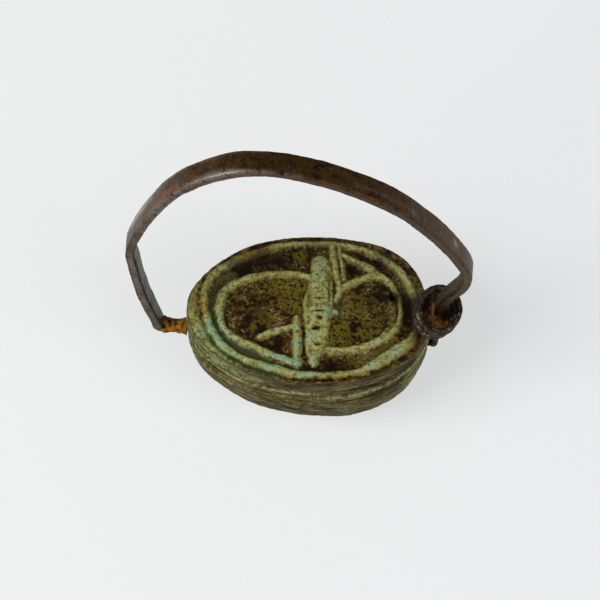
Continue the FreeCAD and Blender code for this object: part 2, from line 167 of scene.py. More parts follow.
OCHRE_PATCHES = (
    (-3.6, 4.5, 0.9, 1.2), (-7.0, -0.2, 0.45, 0.8), (-3.9, -2.3, 0.4, 0.7), (-4.8, 3.8, 1.0, 0.5),
    (7.2, -2.1, 0.8, 0.5), (6.6, -2.9, 0.6, 0.5), (-6.9, -0.9, 0.6, 0.5), (-7.6, 0.2, 0.7, 0.5),
    (-6.9, 1.4, 0.4, 0.5), (-1.2, -5.1, 0.7, 0.4), (1.9, -5.2, 0.8, 0.4), (-3.0, 0.4, 0.5, 0.2),
    (3.4, 4.3, 0.9, 0.3), (-2.4, 2.75, 0.9, 0.3), (-3.6, 2.5, 0.6, 0.3), (3.4, -5.0, 0.7, 0.3),
    (0.2, 3.9, 0.4, 0.25), (-0.3, 3.3, 0.25, 0.7), (1.6, 3.6, 0.25, 0.5),
    (-0.45, -2.0, 0.25, 0.7), (1.5, -1.3, 0.25, 0.6),
)
# Dark patches: stains, and near the right tip (x about 6.7 to 7.4) the winding's shadow painted on
# the face.
DARK_PATCHES = (
    (-4.3, 1.2, 0.5, 0.4), (-3.5, -0.5, 0.6, 0.5), (4.0, 1.0, 0.5, 0.4), (4.7, 0.2, 0.4, 0.35),
    (3.0, -1.0, 0.5, 0.3), (4.2, -0.9, 0.4, 0.3), (-3.4, 3.65, 0.9, 0.9), (-4.6, 3.2, 0.6, 0.7),
    (-2.0, 4.0, 0.7, 0.8), (-0.3, 3.9, 0.4, 0.5), (7.4, 0.4, 0.8, 1.0), (6.75, 1.2, 0.7, 0.9),
    (6.9, -0.8, 0.7, 0.95), (7.4, -1.6, 0.5, 0.6), (-5.2, 2.9, 0.5, 0.4), (1.7, -4.1, 0.7, 0.9),
    (2.8, -4.0, 0.6, 0.6), (2.7, 3.45, 0.55, 0.8), (5.46, 1.58, 0.34, 2.0), (-3.9, 0.3, 0.7, 0.4),
    (4.4, 1.9, 0.6, 0.4), (-3.8, 5.0, 0.9, 0.6), (-5.8, 3.7, 0.8, 0.6), (-0.2, -4.6, 0.3, 0.6),
    (4.6, 4.9, 0.9, 0.5), (5.9, 1.0, 0.5, 0.4), (4.5, 3.9, 0.8, 0.4), (2.9, -1.9, 0.4, 0.4),
    (-2.0, -2.9, 0.5, 0.5), (0.1, 5.7, 1.6, 0.6),
)
PALE_WALL = (
    (-7.6, 1.0, 1.4, 0.6), (-6.0, 1.9, 1.5, 0.65), (-4.6, 1.4, 1.2, 0.7), (-3.0, 2.0, 0.9, 0.45),
    (-1.8, 1.1, 0.9, 0.35), (0.6, 0.9, 0.7, 0.25), (7.0, -0.4, 0.8, 0.7), (7.4, 0.8, 0.8, 0.5),
    (5.6, -1.4, 0.6, 0.4), (2.2, 2.2, 0.6, 0.2), (1.6, 0.7, 0.9, 0.3), (5.2, -0.5, 0.8, 0.4),
    (2.9, -0.6, 0.9, 0.35),
)
OLIVE_PATCHES = (
    (-1.1, 1.6, 1.0, 1.0), (-2.6, 1.4, 0.9, 0.6), (-0.9, 0.0, 0.7, 0.6), (-3.2, -1.0, 0.9, 0.3),
    (2.2, -0.5, 0.9, 1.0), (2.7, 0.8, 0.7, 0.7), (2.0, -2.1, 0.7, 0.7), (4.4, -1.0, 0.8, 0.6),
    (4.1, -3.2, 1.2, 1.0), (6.1, -1.8, 0.7, 0.8), (6.5, 2.9, 0.6, 0.7), (-4.8, 1.0, 0.6, 0.4),
    (-1.05, 4.35, 0.42, 1.6), (3.9, 0.5, 0.9, 0.4), (-5.9, 2.2, 0.8, 0.5), (-0.4, 2.0, 0.5, 0.7),
)

# Hoop: middle line as shares of its span and height, then width and thickness as shares
# of the band's; the first part climbs from the bore to the crown, the second comes down
FIRST_HALF_SHARES = (
    (-0.4735, 0.05, 0.74, 0.94), (-0.491, 0.13, 0.8, 0.94), (-0.512, 0.25, 0.87, 0.95),
    (-0.5255, 0.39, 0.93, 0.95), (-0.531, 0.485, 0.96, 0.93), (-0.505, 0.59, 0.97, 0.85),
    (-0.453, 0.719, 0.99, 0.84), (-0.396, 0.826, 1.03, 0.9), (-0.326, 0.906, 1.05, 0.96),
    (-0.224, 0.976, 1.05, 1.0), (-0.121, 0.998, 1.05, 1.0),
)
SECOND_HALF_SHARES = (
    (-0.025, 0.977, 1.05, 1.0), (0.111, 0.896, 1.05, 1.0), (0.25, 0.757, 1.04, 1.0),
    (0.361, 0.562, 1.0, 1.0), (0.436, 0.374, 0.96, 1.0), (0.471, 0.233, 0.89, 0.98),
    (0.46, 0.112, 0.8, 0.94),
)


# Settings

def length_setting(name, description, metres):
    """A length, shown in the scene's unit."""
    return FloatProperty(name=name, description=description, unit="LENGTH", default=metres)


def angle_setting(name, description, degrees):
    """An angle, shown in degrees."""
    return FloatProperty(name=name, description=description, subtype="ANGLE",
                         default=math.radians(degrees))


def colour_setting(name, description, hex_colour):
    """A colour, shown with a picker."""
    return FloatVectorProperty(name=name, description=description, subtype="COLOR",
                               default=linear(hex_colour))


class ScarabSettings(PropertyGroup):
    """Sizes and colours of the carved scarab."""
    length: length_setting("Length", "From tip to tip", SCARAB_HIGH.x - SCARAB_LOW.x)
    width: length_setting("Width", "Across the face", 11.5 * MM)
    face_height: length_setting("Face height", "From the bore to the face", 3.0 * MM)
    back_depth: length_setting("Back depth", "From the bore to the back", 4.2 * MM)
    turn: angle_setting("Turn", "How the scarab is turned on its wire", -8)
    carving_depth: length_setting("Carving depth", "How far the ground is sunk", 0.3 * MM)
    line_width: length_setting("Line width", "Width of the raised lines", 0.54 * MM)
    glaze: colour_setting("Glaze", "Colour of the worn glaze", "#888E4E")
    glaze_blue: colour_setting("Bluish glaze", "Glaze where it is thick", "#7C9870")
    ochre: colour_setting("Ochre", "Colour of the weathered glaze", "#86641C")
    ground_dark: colour_setting("Dark ground", "Stained bare stone", "#1B1004")
    ground_olive: colour_setting("Olive ground", "Grains in the ground", "#6A5D18")


class HoopSettings(PropertyGroup):
    """Sizes and colours of the hammered hoop."""
    span: length_setting("Span", "Across the hoop's middle line", 21.5 * MM)
    height: length_setting("Height", "From the bore to the crown", 25.0 * MM)
    band_width: length_setting("Band width", "Width of the band at the crown", 1.42 * MM)
    band_thickness: length_setting("Band thickness", "Thickness at the crown", 0.66 * MM)
    patina: colour_setting("Patina", "Colour of the dark patina", "#4E3516")
    patina_grey: colour_setting("Grey patina", "Worn, lighter patina", "#776A5F")
    rust: colour_setting("Rust spots", "Warm spots in the patina", "#7A4C14")


class WireSettings(PropertyGroup):
    """Sizes and colours of the wire and its winding."""
    pin_diameter: length_setting("Pin", "Wire inside the bore", 0.8 * MM)
    wire_diameter: length_setting("Wire", "Wire in the winding", 0.5 * MM)
    neck_length: length_setting("Neck", "Bare wire between foot and scarab", 1.5 * MM)
    turns: FloatProperty(name="Turns", description="Turns round the shank", default=2.42)
    sides: IntProperty(name="Sides", description="Faces round the wire", default=20)
    patina: colour_setting("Patina", "Colour of the wire", "#2E241A")
    crust: colour_setting("Crust", "Colour of the orange crust", "#A8721A")


class StageSettings(PropertyGroup):
    """The view and the floor."""
    azimuth: angle_setting("Azimuth", "Turn of the view about the vertical", 3.94)
    elevation: angle_setting("Elevation", "Height of the view", 66.0)
    distance: length_setting("Distance", "From the bore to the camera", 250.0 * MM)
    across: length_setting("Across", "The image's middle, right of the bore", -0.6 * MM)
    up: length_setting("Up", "The image's middle, above the bore", 2.233 * MM)
    floor: colour_setting("Floor", "Colour of the floor", "#E8EAEA")


# Small helpers

def add_node(tree, kind, inputs=None, **settings):
    """Adds a node to a tree; an input is a value or the socket that feeds it."""
    node = tree.nodes.new(kind)
    for name, value in settings.items():
        setattr(node, name, value)
    for key, value in (inputs or {}).items():
        if isinstance(value, bpy.types.NodeSocket):
            tree.links.new(value, node.inputs[key])
        else:
            node.inputs[key].default_value = value
    return node


def smooth_step(low, high, value):
    """0 below low, 1 above high and smooth between them."""
    share = np.clip((value - low) / (high - low), 0, 1)
    return share * share * (3 - 2 * share)


def plateau(value, low, full, fading, gone):
    """0 outside low and gone, 1 between full and fading, and smooth between them."""
    return smooth_step(low, full, value) * (1 - smooth_step(fading, gone, value))


def bell(value, middle, width):
    """1 at the middle and smoothly less on both sides."""
    return np.exp(-((value - middle) / width) ** 2)


def smooth_line(points, steps=8, closed=False):
    """A smooth curve through the points, as a finer list of points."""
    points = np.array(points, float)
    if closed:
        padded = np.vstack([points[-1:], points, points[:2]])
    else:
        padded = np.vstack([2 * points[:1] - points[1:2], points, 2 * points[-1:] - points[-2:-1]])
    share = np.linspace(0, 1, steps, endpoint=False)[:, None]
    pieces = []
    for a, b, c, d in zip(padded, padded[1:], padded[2:], padded[3:]):
        pieces.append(0.5 * (2 * b + (c - a) * share + (2 * a - 5 * b + 4 * c - d) * share ** 2
                             + (3 * b - a - 3 * c + d) * share ** 3))
    if not closed:
        pieces.append(points[-1:])
    return np.vstack(pieces)


def distance_to(line, places):
    """Distance from each place to a line of points, and the line's width there."""
    least = np.full(len(places), np.inf)
    width = np.zeros(len(places))
    for start, end in zip(line, line[1:]):
        along = (end - start)[:2]
        share = np.clip((places - start[:2]) @ along / (along @ along), 0, 1)
        gap = np.linalg.norm(places - start[:2] - share[:, None] * along, axis=1)
        if len(start) > 2:
            width = np.where(gap < least, start[2] + share * (end[2] - start[2]), width)
        least = np.minimum(least, gap)
    return least, width


def is_inside(line, places):
    """Whether each place lies inside a closed line of points."""
    inside = np.zeros(len(places), bool)
    x, y = places[:, 0], places[:, 1]
    for (x0, y0), (x1, y1) in zip(line, np.roll(line, -1, axis=0)):
        if y0 == y1:
            continue
        inside ^= ((y0 > y) != (y1 > y)) & (x < (x1 - x0) * (y - y0) / (y1 - y0) + x0)
    return inside


def depth_inside(outline, places):
    """How far each place lies inside a closed outline, below 0 outside, and its width there."""
    line = smooth_line(outline, closed=True)
    gap, width = distance_to(np.vstack([line, line[:1]]), places)
    return gap * np.where(is_inside(line[:, :2], places), 1, -1), width


def grain(points, size, seed=0.0, octaves=1):
    """Smooth noise between about -1 and 1 at each point, with features of a given size."""
    shift = Vector((seed, seed * 1.7, seed * 0.6))
    places = (Vector(p) / size + shift for p in points)
    if octaves > 1:
        return np.array([noise.fractal(place, 0.8, 2.0, octaves) for place in places])
    return np.array([noise.noise(place) for place in places])


def patches(places, table):
    """Soft round patches from a table of x, y, reach and strength."""
    total = np.zeros(len(places))
    for x, y, reach, strength in table:
        away = np.hypot(places[:, 0] - x, places[:, 1] - y)
        total = total + strength * bell(away, 0, reach)
    return np.clip(total, 0, 1)


def round_rings(stations, sides):
    """Points of rings round the bore's axis, from the x and the radius of each."""
    angles = np.arange(sides) * 2 * math.pi / sides
    return [(x, radius * math.cos(a), radius * math.sin(a)) for x, radius in stations
            for a in angles]


def ring_quads(rings, sides, first=0):
    """Outward quads between rings of points that follow each other."""
    quads = []
    for start in range(first, first + (rings - 1) * sides, sides):
        for i in range(sides):
            here, after = start + i, start + (i + 1) % sides
            quads.append((here, after, after + sides, here + sides))
    return quads


def closed_tube(rings, sides):
    """Outward faces of a pole, rings of points and a pole at the other end, in this order."""
    last = 1 + (rings - 1) * sides
    faces = ring_quads(rings, sides, first=1)
    for i in range(sides):
        j = (i + 1) % sides
        faces += [(0, 1 + j, 1 + i), (last + i, last + j, last + sides)]
    return faces


def add_object(name, data):
    """A new object in the scene."""
    made = bpy.data.objects.new(name, data)
    bpy.context.scene.collection.objects.link(made)
    return made


def make_object(name, points_mm, faces, material, attributes=None):
    """A smooth-shaded object from points in millimetres round the bore."""
    mesh = bpy.data.meshes.new(name)
    places = np.array(points_mm) * MM + np.array(BORE)
    mesh.from_pydata(places.tolist(), [], faces)
    for key, values in (attributes or {}).items():
        layer = mesh.attributes.new(key, "FLOAT", "POINT")
        layer.data.foreach_set("value", np.array(values, np.float32))
    mesh.materials.append(material)
    mesh.shade_smooth()
    return add_object(name, mesh)


def as_plain_mesh(maker):
    """Turns the evaluated result of an object's modifiers into its own plain mesh."""
    bpy.context.view_layer.update()
    evaluated = maker.evaluated_get(bpy.context.evaluated_depsgraph_get())
    mesh = bpy.data.meshes.new_from_object(evaluated)
    maker.modifiers.clear()
    if maker.type == "MESH":
        maker.data = mesh
        return maker
    name = maker.name
    bpy.data.objects.remove(maker)
    return add_object(name, mesh)


# Materials

def new_material(name):
    """An empty material and its nodes."""
    material = bpy.data.materials.new(name)
    material.use_nodes = True
    material.node_tree.nodes.clear()
    return material, material.node_tree


def as_colour(value):
    """A socket as it is, and hex or linear values as a colour with its alpha."""
    if isinstance(value, bpy.types.NodeSocket):
        return value
    return (*(linear(value) if isinstance(value, str) else value), 1.0)


def laid_over(tree, colour, *layers):
    """Colours laid over a first one.  A layer is (share, colour) or (value, low, high, colour):
    there, the value at low gives none of the colour, and at high all of it."""
    for share, *reach, above in layers:
        if reach:
            share = add_node(tree, "ShaderNodeMapRange",
                             {"Value": share, "From Min": reach[0], "From Max": reach[1]},
                             interpolation_type="SMOOTHSTEP").outputs["Result"]
        colour = add_node(tree, "ShaderNodeMix",
                          {0: share, 6: as_colour(colour), 7: as_colour(above)},
                          data_type="RGBA").outputs[2]
    return colour


def between(tree, share, low, high):
    """A number that goes from low to high as the share goes from 0 to 1."""
    return add_node(tree, "ShaderNodeMapRange", {"Value": share, "To Min": low, "To Max": high}
                    ).outputs["Result"]


def sum_of(tree, first, second, factor=1.0):
    """The first value plus the second times the factor."""
    return add_node(tree, "ShaderNodeMath", {0: second, 1: factor, 2: first},
                    operation="MULTIPLY_ADD").outputs[0]


def masks(tree, *names):
    """The values that the mesh carries under these names."""
    return [add_node(tree, "ShaderNodeAttribute", attribute_name=name).outputs["Fac"]
            for name in names]


def pattern(tree, place, size, detail=2.0, stretch=None, roughness=0.5):
    """Noise with features of a real size in metres."""
    if stretch:
        place = add_node(tree, "ShaderNodeMapping", {"Vector": place, "Scale": stretch}
                         ).outputs["Vector"]
    return add_node(tree, "ShaderNodeTexNoise", {"Vector": place, "Scale": 1 / size,
                                                 "Detail": detail, "Roughness": roughness}
                    ).outputs["Fac"]


def own_place(tree, turn=0.0):
    """Object coordinates centred on the bore, turned with the scarab."""
    back = Matrix.Rotation(-turn, 3, "X")
    coordinates = add_node(tree, "ShaderNodeTexCoord")
    return add_node(tree, "ShaderNodeMapping",
                    {"Vector": coordinates.outputs["Object"], "Location": back @ -BORE,
                     "Rotation": (-turn, 0, 0)}).outputs["Vector"]


def finished(material, colour, relief, look):
    """Ends a material with its relief (height, strength and depth) and its shader's values."""
    tree = material.node_tree
    bump = add_node(tree, "ShaderNodeBump", dict(zip(("Height", "Strength", "Distance"), relief)))
    shader = add_node(tree, "ShaderNodeBsdfPrincipled",
                      {"Base Color": colour, "Normal": bump.outputs["Normal"], **look})
    add_node(tree, "ShaderNodeOutputMaterial", {"Surface": shader.outputs["BSDF"]})
    return material


def glazed_steatite(settings):
    """Carved steatite with a worn green glaze: olive lines with a grainy skin, and a ground
    stained dark brown with olive grains, as the glaze has gone from it. Painted light is laid into
    the colour: a highlight along the lines' crests and in pale flecks, shade on their flanks, and
    the winding's shadow on the face near the right tip."""
    material, tree = new_material("glazed_steatite")
    place = own_place(tree, settings.turn)
    speck = pattern(tree, place, 0.27 * MM, 3.0, roughness=0.7)
    fleck = pattern(tree, place, 0.15 * MM, 1.0, stretch=(1.0, -1.0, 1.3))
    blotch = pattern(tree, place, 0.6 * MM, 4.0, stretch=(-1.0, 1.0, 1.2), roughness=0.65)
    cloud = pattern(tree, place, 1.1 * MM, 3.0)
    streak = pattern(tree, place, 1.3 * MM, 4.0, stretch=(0.5, 0.5, 11.0), roughness=0.62)
    fine = pattern(tree, place, 1.3 * MM, 3.0, stretch=(0.7, 0.7, 17.0), roughness=0.6)
    teal, ochre, olive, green = masks(tree, "teal", "ochre", "olive", "green")
    stain_and_shadow, pale, side, ridge = masks(tree, "stain_and_shadow", "pale", "side", "ridge")
    # The same noise about 0
    speck_0, fleck_0, blotch_0 = (sum_of(tree, -0.5, value) for value in (speck, fleck, blotch))

    wall = laid_over(
        tree, "#2A2110", (streak, 0.44, 0.56, "#5A4E2E"), (blotch, 0.5, 0.62, "#42341C"),
        (pale, "#7A8052"), (streak, 0.47, 0.38, "#20170A"), (fine, 0.54, 0.68, "#8E8C58"))
    ground = laid_over(
        tree, settings.ground_dark, (cloud, 0.4, 0.6, "#38260A"),
        (sum_of(tree, blotch, olive, 0.2), 0.5, 0.64, settings.ground_olive),
        (speck, 0.52, 0.38, "#180D03"), (sum_of(tree, fleck_0, cloud), 0.6, 0.84, "#8A774C"),
        (green, "#434A2A"), (side, wall))
    glaze = laid_over(
        tree, settings.glaze, (cloud, 0.35, 0.65, "#867E42"),
        (sum_of(tree, teal, blotch_0, 1.6), 0.2, 1.1, settings.glaze_blue),
        (sum_of(tree, ochre, speck_0, 1.2), 0.2, 0.8, settings.ochre),
        # The pale flecks on the glaze are painted glints.
        (blotch, 0.52, 0.68, "#75703A"), (side, "#80805A"), (fleck, 0.56, 0.82, "#BCC48E"),
        (speck, 0.5, 0.32, "#4A4012"))
    # Line colours from foot to crest: a brown edge on the ground, painted shade on the flanks, the
    # glaze, and a painted highlight along the crest.
    halo = laid_over(tree, "#4E340A", (side, "#3C3016"), (green, "#323A22"))
    painted_flank_shade = laid_over(tree, "#6A5E2C", (side, "#5E5836"), (green, "#57683F"))
    painted_crest_highlight = laid_over(tree, "#A4A266", (teal, "#7C9E82"), (ochre, "#A88A3C"))
    near = sum_of(tree, ridge, sum_of(tree, speck_0, blotch_0, 0.9), 1.5)
    colour = laid_over(
        tree, ground, (near, 0.05, 0.3, halo), (near, 0.26, 0.46, painted_flank_shade),
        # Last, the dark stains and the winding's painted shadow.
        (near, 0.44, 0.78, glaze), (near, 0.86, 1.16, painted_crest_highlight), (stain_and_shadow, "#140A03"))
    return finished(
        material, colour, (sum_of(tree, speck, fleck, 0.6), 0.7, 0.05 * MM),
        {"Roughness": between(tree, side, 0.42, 0.8), "Specular IOR Level": 0.11})


def hammered_bronze(settings):
    """Hammered bronze under a warm dark patina: a low sheen, greyer where fingers and handling
    have worn it, with rusty spots. The grey also carries painted highlights, and the band is
    darker along its edges."""
    material, tree = new_material("hammered_bronze")
    place = own_place(tree)
    cloud = pattern(tree, place, 1.6 * MM, 5.0, roughness=0.6)
    spots = pattern(tree, place, 0.7 * MM, 4.0, stretch=(1.0, -1.0, 1.0), roughness=0.7)
    pits = pattern(tree, place, 0.13 * MM, 3.0, roughness=0.65)
    grit = pattern(tree, place, 0.3 * MM, 4.0, stretch=(1.6, 1.6, 0.7), roughness=0.7)
    wear_and_highlight, inside, rusty, corner = masks(tree, "wear_and_highlight", "inside", "rusty", "corner")
    lining = laid_over(tree, "#15140D", (grit, 0.42, 0.62, "#66665A"))
    colour = laid_over(
        tree, settings.patina, (sum_of(tree, cloud, wear_and_highlight), 0.6, 1.15, settings.patina_grey),
        (spots, 0.5, 0.36, "#2C1A0A"), (inside, lining),
        # The palest grey, where the mask is strongest, is mostly painted highlight.
        (sum_of(tree, spots, rusty), 0.66, 0.84, settings.rust), (wear_and_highlight, 0.6, 1.2, "#A09A94"),
        (sum_of(tree, cloud, corner), 0.9, 1.4, "#1E140C"), (pits, 0.46, 0.32, "#1E140A"),
        (pits, 0.58, 0.8, "#8E7A62"))
    return finished(
        material, colour, (sum_of(tree, pits, grit, inside), 0.6, 0.04 * MM),
        {"Metallic": between(tree, inside, 0.9, 0.3), "Roughness": between(tree, spots, 0.3, 0.6)})


def bronze_wire(settings):
    """Drawn bronze wire, corroded nearly black, with rusty and green spots."""
    material, tree = new_material("bronze_wire")
    place = own_place(tree)
    cloud = pattern(tree, place, 0.8 * MM, 4.0)
    spots = pattern(tree, place, 0.3 * MM, 3.0, roughness=0.7)
    green = pattern(tree, place, 0.9 * MM, 3.0, stretch=(-1.0, 1.0, 1.0))
    colour = laid_over(
        tree, settings.patina, (cloud, 0.4, 0.65, "#46382A"), (spots, 0.55, 0.7, "#84785C"),
        (spots, 0.46, 0.36, "#120C06"), (green, 0.61, 0.7, "#37482E"))
    return finished(material, colour, (spots, 0.6, 0.04 * MM),
                    {"Metallic": 0.8, "Roughness": 0.58})


def rust_crust(settings):
    """Grainy orange-brown corrosion crust: matt, with dark hollows between its grains."""
    material, tree = new_material("rust_crust")
    place = own_place(tree)
    spots = pattern(tree, place, 0.25 * MM, 3.0, roughness=0.7)
    cloud = pattern(tree, place, 0.7 * MM, 3.0)
    fresh, = masks(tree, "fresh")
    bright = laid_over(tree, settings.crust, (cloud, 0.44, 0.66, "#7A4C0E"))
    colour = laid_over(
        tree, "#34220F", (cloud, 0.42, 0.6, "#523620"), (fresh, bright),
        (spots, 0.48, 0.38, "#1E1004"), (spots, 0.6, 0.74, "#A8763A"))
    return finished(material, colour, (spots, 0.7, 0.05 * MM),
                    {"Roughness": 0.75, "Specular IOR Level": 0.1})


# Scarab

# In millimetres, apart from the counts of cells, rows and sides, the fullness of the back's
# curve, the two depths of the back, which are shares of its height, and the cap's share
FACE_CELLS = 190
EDGE_ROUND = 0.2
PLATE_BOTTOM = 1.75
BACK_TOP = 0.7
BACK_INSET = 0.12
BACK_FULLNESS = 2.75
WALL_ROWS = 30
UPPER_DEPTH, UPPER_ROWS = 0.42, 16
LOWER_DEPTH, LOWER_ROWS = 0.45, 16
CAP_START_SHARE = 0.62
SOFT = 0.15
BORE_RADIUS = 0.46
MOUTH_RADIUS = 0.6
MOUTH_DEPTH = 0.4
BORE_SIDES = 48
FLOOR_GAP = 0.004
DRAWN_LINE_WIDTH = 0.54
# The raised lines, and their height and glaze as shares of the border's
RAISED_LINES = tuple((line, 1, 1) for line in (
    LEFT_LOOP, RIGHT_LOOP, LEFT_BAR, LEFT_SLANT, RIGHT_SLANT, *RIGHT_BARS, SPINDLE_NUB
)) + ((INNER_SHELF, 0.72, 0.4),)


def disc_grid(cells):
    """A square grid bent to the unit disc: its points, its faces and its rim, in order."""
    line = np.linspace(-1, 1, cells + 1)
    a, b = np.meshgrid(line, line, indexing="xy")
    wide = np.abs(a) > np.abs(b)
    with np.errstate(divide="ignore", invalid="ignore"):
        angle = np.where(wide, math.pi / 4 * b / a, math.pi / 2 - math.pi / 4 * a / b)
    radius = np.where(wide, a, b)
    angle = np.nan_to_num(angle)
    points = np.stack([radius * np.cos(angle), radius * np.sin(angle)], axis=-1).reshape(-1, 2)
    index = np.arange((cells + 1) ** 2).reshape(cells + 1, cells + 1)
    faces = np.stack([index[:-1, :-1], index[:-1, 1:], index[1:, 1:], index[1:, :-1]],
                     axis=-1).reshape(-1, 4)
    rim = np.concatenate([index[0, :-1], index[:-1, -1], index[-1, :0:-1], index[:0:-1, 0]])
    return points, faces, rim


def outline_share(angle):
    """The outline's radius as a share, at angles in the space of shares."""
    line = smooth_line(OUTLINE_SHARES, steps=16, closed=True)
    angles = np.arctan2(line[:, 1], line[:, 0])
    radii = np.hypot(line[:, 0], line[:, 1])
    order = np.argsort(angles)
    return np.interp(angle, angles[order], radii[order], period=2 * math.pi)


def scarab_body(settings):
    """The scarab's smooth body: points, faces and how many of them belong to the face."""
    half_length = settings.length / MM / 2
    half_width = settings.width / MM / 2
    face_z = settings.face_height / MM
    back_height = BACK_TOP + settings.back_depth / MM

    def ring(disc, inset, share, height):
        angle = np.arctan2(disc[:, 1], disc[:, 0])
        radius = np.hypot(disc[:, 0], disc[:, 1]) * outline_share(angle) * share
        height = np.broadcast_to(height, radius.shape)
        return np.stack([radius * np.cos(angle) * (half_length - inset),
                         radius * np.sin(angle) * (half_width - inset), height], axis=-1)

    disc, faces, rim = disc_grid(FACE_CELLS)
    points = [ring(disc, EDGE_ROUND, 1.0, face_z)]
    faces = faces.tolist()
    face_count = total = len(disc)
    rim_disc = disc[rim]
    last = rim

    def add_ring(inset, share, height):
        nonlocal total
        points.append(ring(rim_disc, inset, share, height))
        total += len(rim_disc)
        return np.arange(total - len(rim_disc), total)

    def add_row(inset, share, height, last):
        new = add_ring(inset, share, height)
        faces.extend(np.stack([last, new, np.roll(new, -1), np.roll(last, -1)], axis=-1).tolist())
        return new

    def back_share(depth):
        return (1 - depth ** BACK_FULLNESS) ** (1 / BACK_FULLNESS)

    for turn in (30, 60, 90):
        angle = math.radians(turn)
        last = add_row(EDGE_ROUND * (1 - math.sin(angle)), 1.0,
                       face_z - EDGE_ROUND * (1 - math.cos(angle)), last)
    for height in np.linspace(face_z - EDGE_ROUND, BACK_TOP, WALL_ROWS)[1:]:
        inset = BACK_INSET * (face_z - height) / (face_z - BACK_TOP)
        last = add_row(inset, 1.0, height, last)
    for depth in np.linspace(0, UPPER_DEPTH, UPPER_ROWS)[1:]:
        last = add_row(BACK_INSET, back_share(depth), BACK_TOP - depth * back_height, last)

    # From here on, a ring has half as many points
    half, odd = last[::2], last[1::2]
    rim_disc = rim_disc[::2]
    last = add_ring(BACK_INSET, back_share(LOWER_DEPTH), BACK_TOP - LOWER_DEPTH * back_height)
    after = np.roll(last, -1)
    for corners in ((half, last, odd), (odd, last, after), (odd, after, np.roll(half, -1))):
        faces.extend(np.stack(corners, axis=-1).tolist())
    for depth in np.linspace(LOWER_DEPTH, back_share(CAP_START_SHARE), LOWER_ROWS)[1:]:
        last = add_row(BACK_INSET, back_share(depth), BACK_TOP - depth * back_height, last)

    cap, cap_faces, cap_rim = disc_grid(FACE_CELLS // 2)
    depth = back_share(np.hypot(cap[:, 0], cap[:, 1]) * CAP_START_SHARE)
    cap_points = ring(cap, BACK_INSET, CAP_START_SHARE, BACK_TOP - depth * back_height)
    place = np.full(len(cap), -1)
    place[cap_rim] = last
    inner = np.flatnonzero(place < 0)
    place[inner] = total + np.arange(len(inner))
    points.append(cap_points[inner])
    faces.extend(place[cap_faces][:, ::-1].tolist())
    return np.vstack(points), faces, face_count


def raised(gap, width):
    """Height of a rounded line and its glaze, by the distance from its middle."""
    height = 1 - smooth_step(width / 2 - SOFT, width / 2 + SOFT, gap)
    crown = 1 - 0.22 * np.clip(gap / (width / 2), 0, 1) ** 2
    glaze = 1 - smooth_step(width / 2 - 0.14, width / 2 + 0.24, gap)
    # The glaze mask also falls toward the line's edges; the material turns this into a painted
    # highlight on the crest and painted shade on the flanks.
    return height * crown, glaze * (1 - 0.3 * np.clip(gap / (width / 2), 0, 1) ** 2)


def face_relief(places, settings):
    """Height of the carved face and its glaze mask, from the carved lines."""
    scale = settings.line_width / MM / DRAWN_LINE_WIDTH
    depth = settings.carving_depth / MM
    flat = np.pad(places, ((0, 0), (0, 1)))
    warp = np.stack([grain(flat, 0.8, seed) + 0.5 * grain(flat, 0.3, seed + 2)
                     for seed in (3, 8)], axis=-1)
    places = places + 0.06 * warp
    x, y = places[:, 0], places[:, 1]
    swell = scale * (1 + 0.14 * grain(flat, 0.6, 21) + 0.1 * grain(flat, 0.22, 23))

    inset, width = depth_inside(BORDER_LINE, places)
    border, edge = -inset, width / 2
    height, glaze = raised(np.abs(inset), width * swell)
    for line, tall, glazed in RAISED_LINES:
        gap, width = distance_to(smooth_line(line), places)
        line_height, line_glaze = raised(gap, width * swell)
        height = np.maximum(height, tall * line_height)
        glaze = np.maximum(glaze, glazed * line_glaze)

    inset, _ = depth_inside(SPINDLE, places)
    spindle = smooth_step(-0.1, 0.16, inset) * (0.82 + 0.18 * smooth_step(0.1, 0.5, inset))
    cuts = np.zeros(len(places))
    for px, py, wide, high, share in SPINDLE_CUTS:
        cut = ((x - px) / wide) ** 4 + ((y - py - 0.12 * (x - px)) / high) ** 2
        cuts = np.maximum(cuts, share * np.exp(-cut))
    groove, width = distance_to(smooth_line(SPINDLE_GROOVE), places)
    cuts = np.maximum(cuts, 0.5 * np.exp(-(groove / width * 1.6) ** 2))
    spindle = spindle - cuts * smooth_step(0.02, 0.14, inset)
    spindle_glaze = 0.98 * smooth_step(-0.2, 0.12, inset) - 1.1 * cuts
    near = inset > -0.3
    under = 1 - smooth_step(-0.1, 0.1, inset)
    height = np.where(near, np.maximum(height * under, spindle), height)
    glaze = np.where(near, np.maximum(glaze * under, spindle_glaze), glaze)

    rim = smooth_step(edge - 0.05, edge + 0.15, border)
    tip = smooth_step(2.5, 6.5, -x)
    gutter = bell(border - edge, 0.17, 0.13)
    rim_level = 0.72 - gutter * (0.4 - 0.2 * tip) + 0.12 * grain(flat, 0.5, 31, 2)
    height = np.where(border > 0, np.maximum(height, rim * rim_level), height)
    rim_glaze = rim * (0.3 + 0.42 * tip) * (1 - gutter * (1 - 0.5 * tip))
    glaze = np.where(border > 0, np.maximum(glaze, rim_glaze), glaze)
    ground = 0.16 * grain(flat, 0.7, 11, 2) + 0.1 * grain(flat, 0.28, 13)
    height = depth * (height - 1 + ground * (1 - np.clip(height, 0, 1)))
    height = height + 0.1 * depth * grain(flat, 0.3, 17) * np.clip(height / depth + 1, 0, 1)
    for px, py, reach, sunk in FACE_PITS:
        height = height - sunk * np.exp(-(((x - px) ** 2 + (y - py) ** 2) / reach ** 2))
    return height, np.clip(glaze, 0, 1)


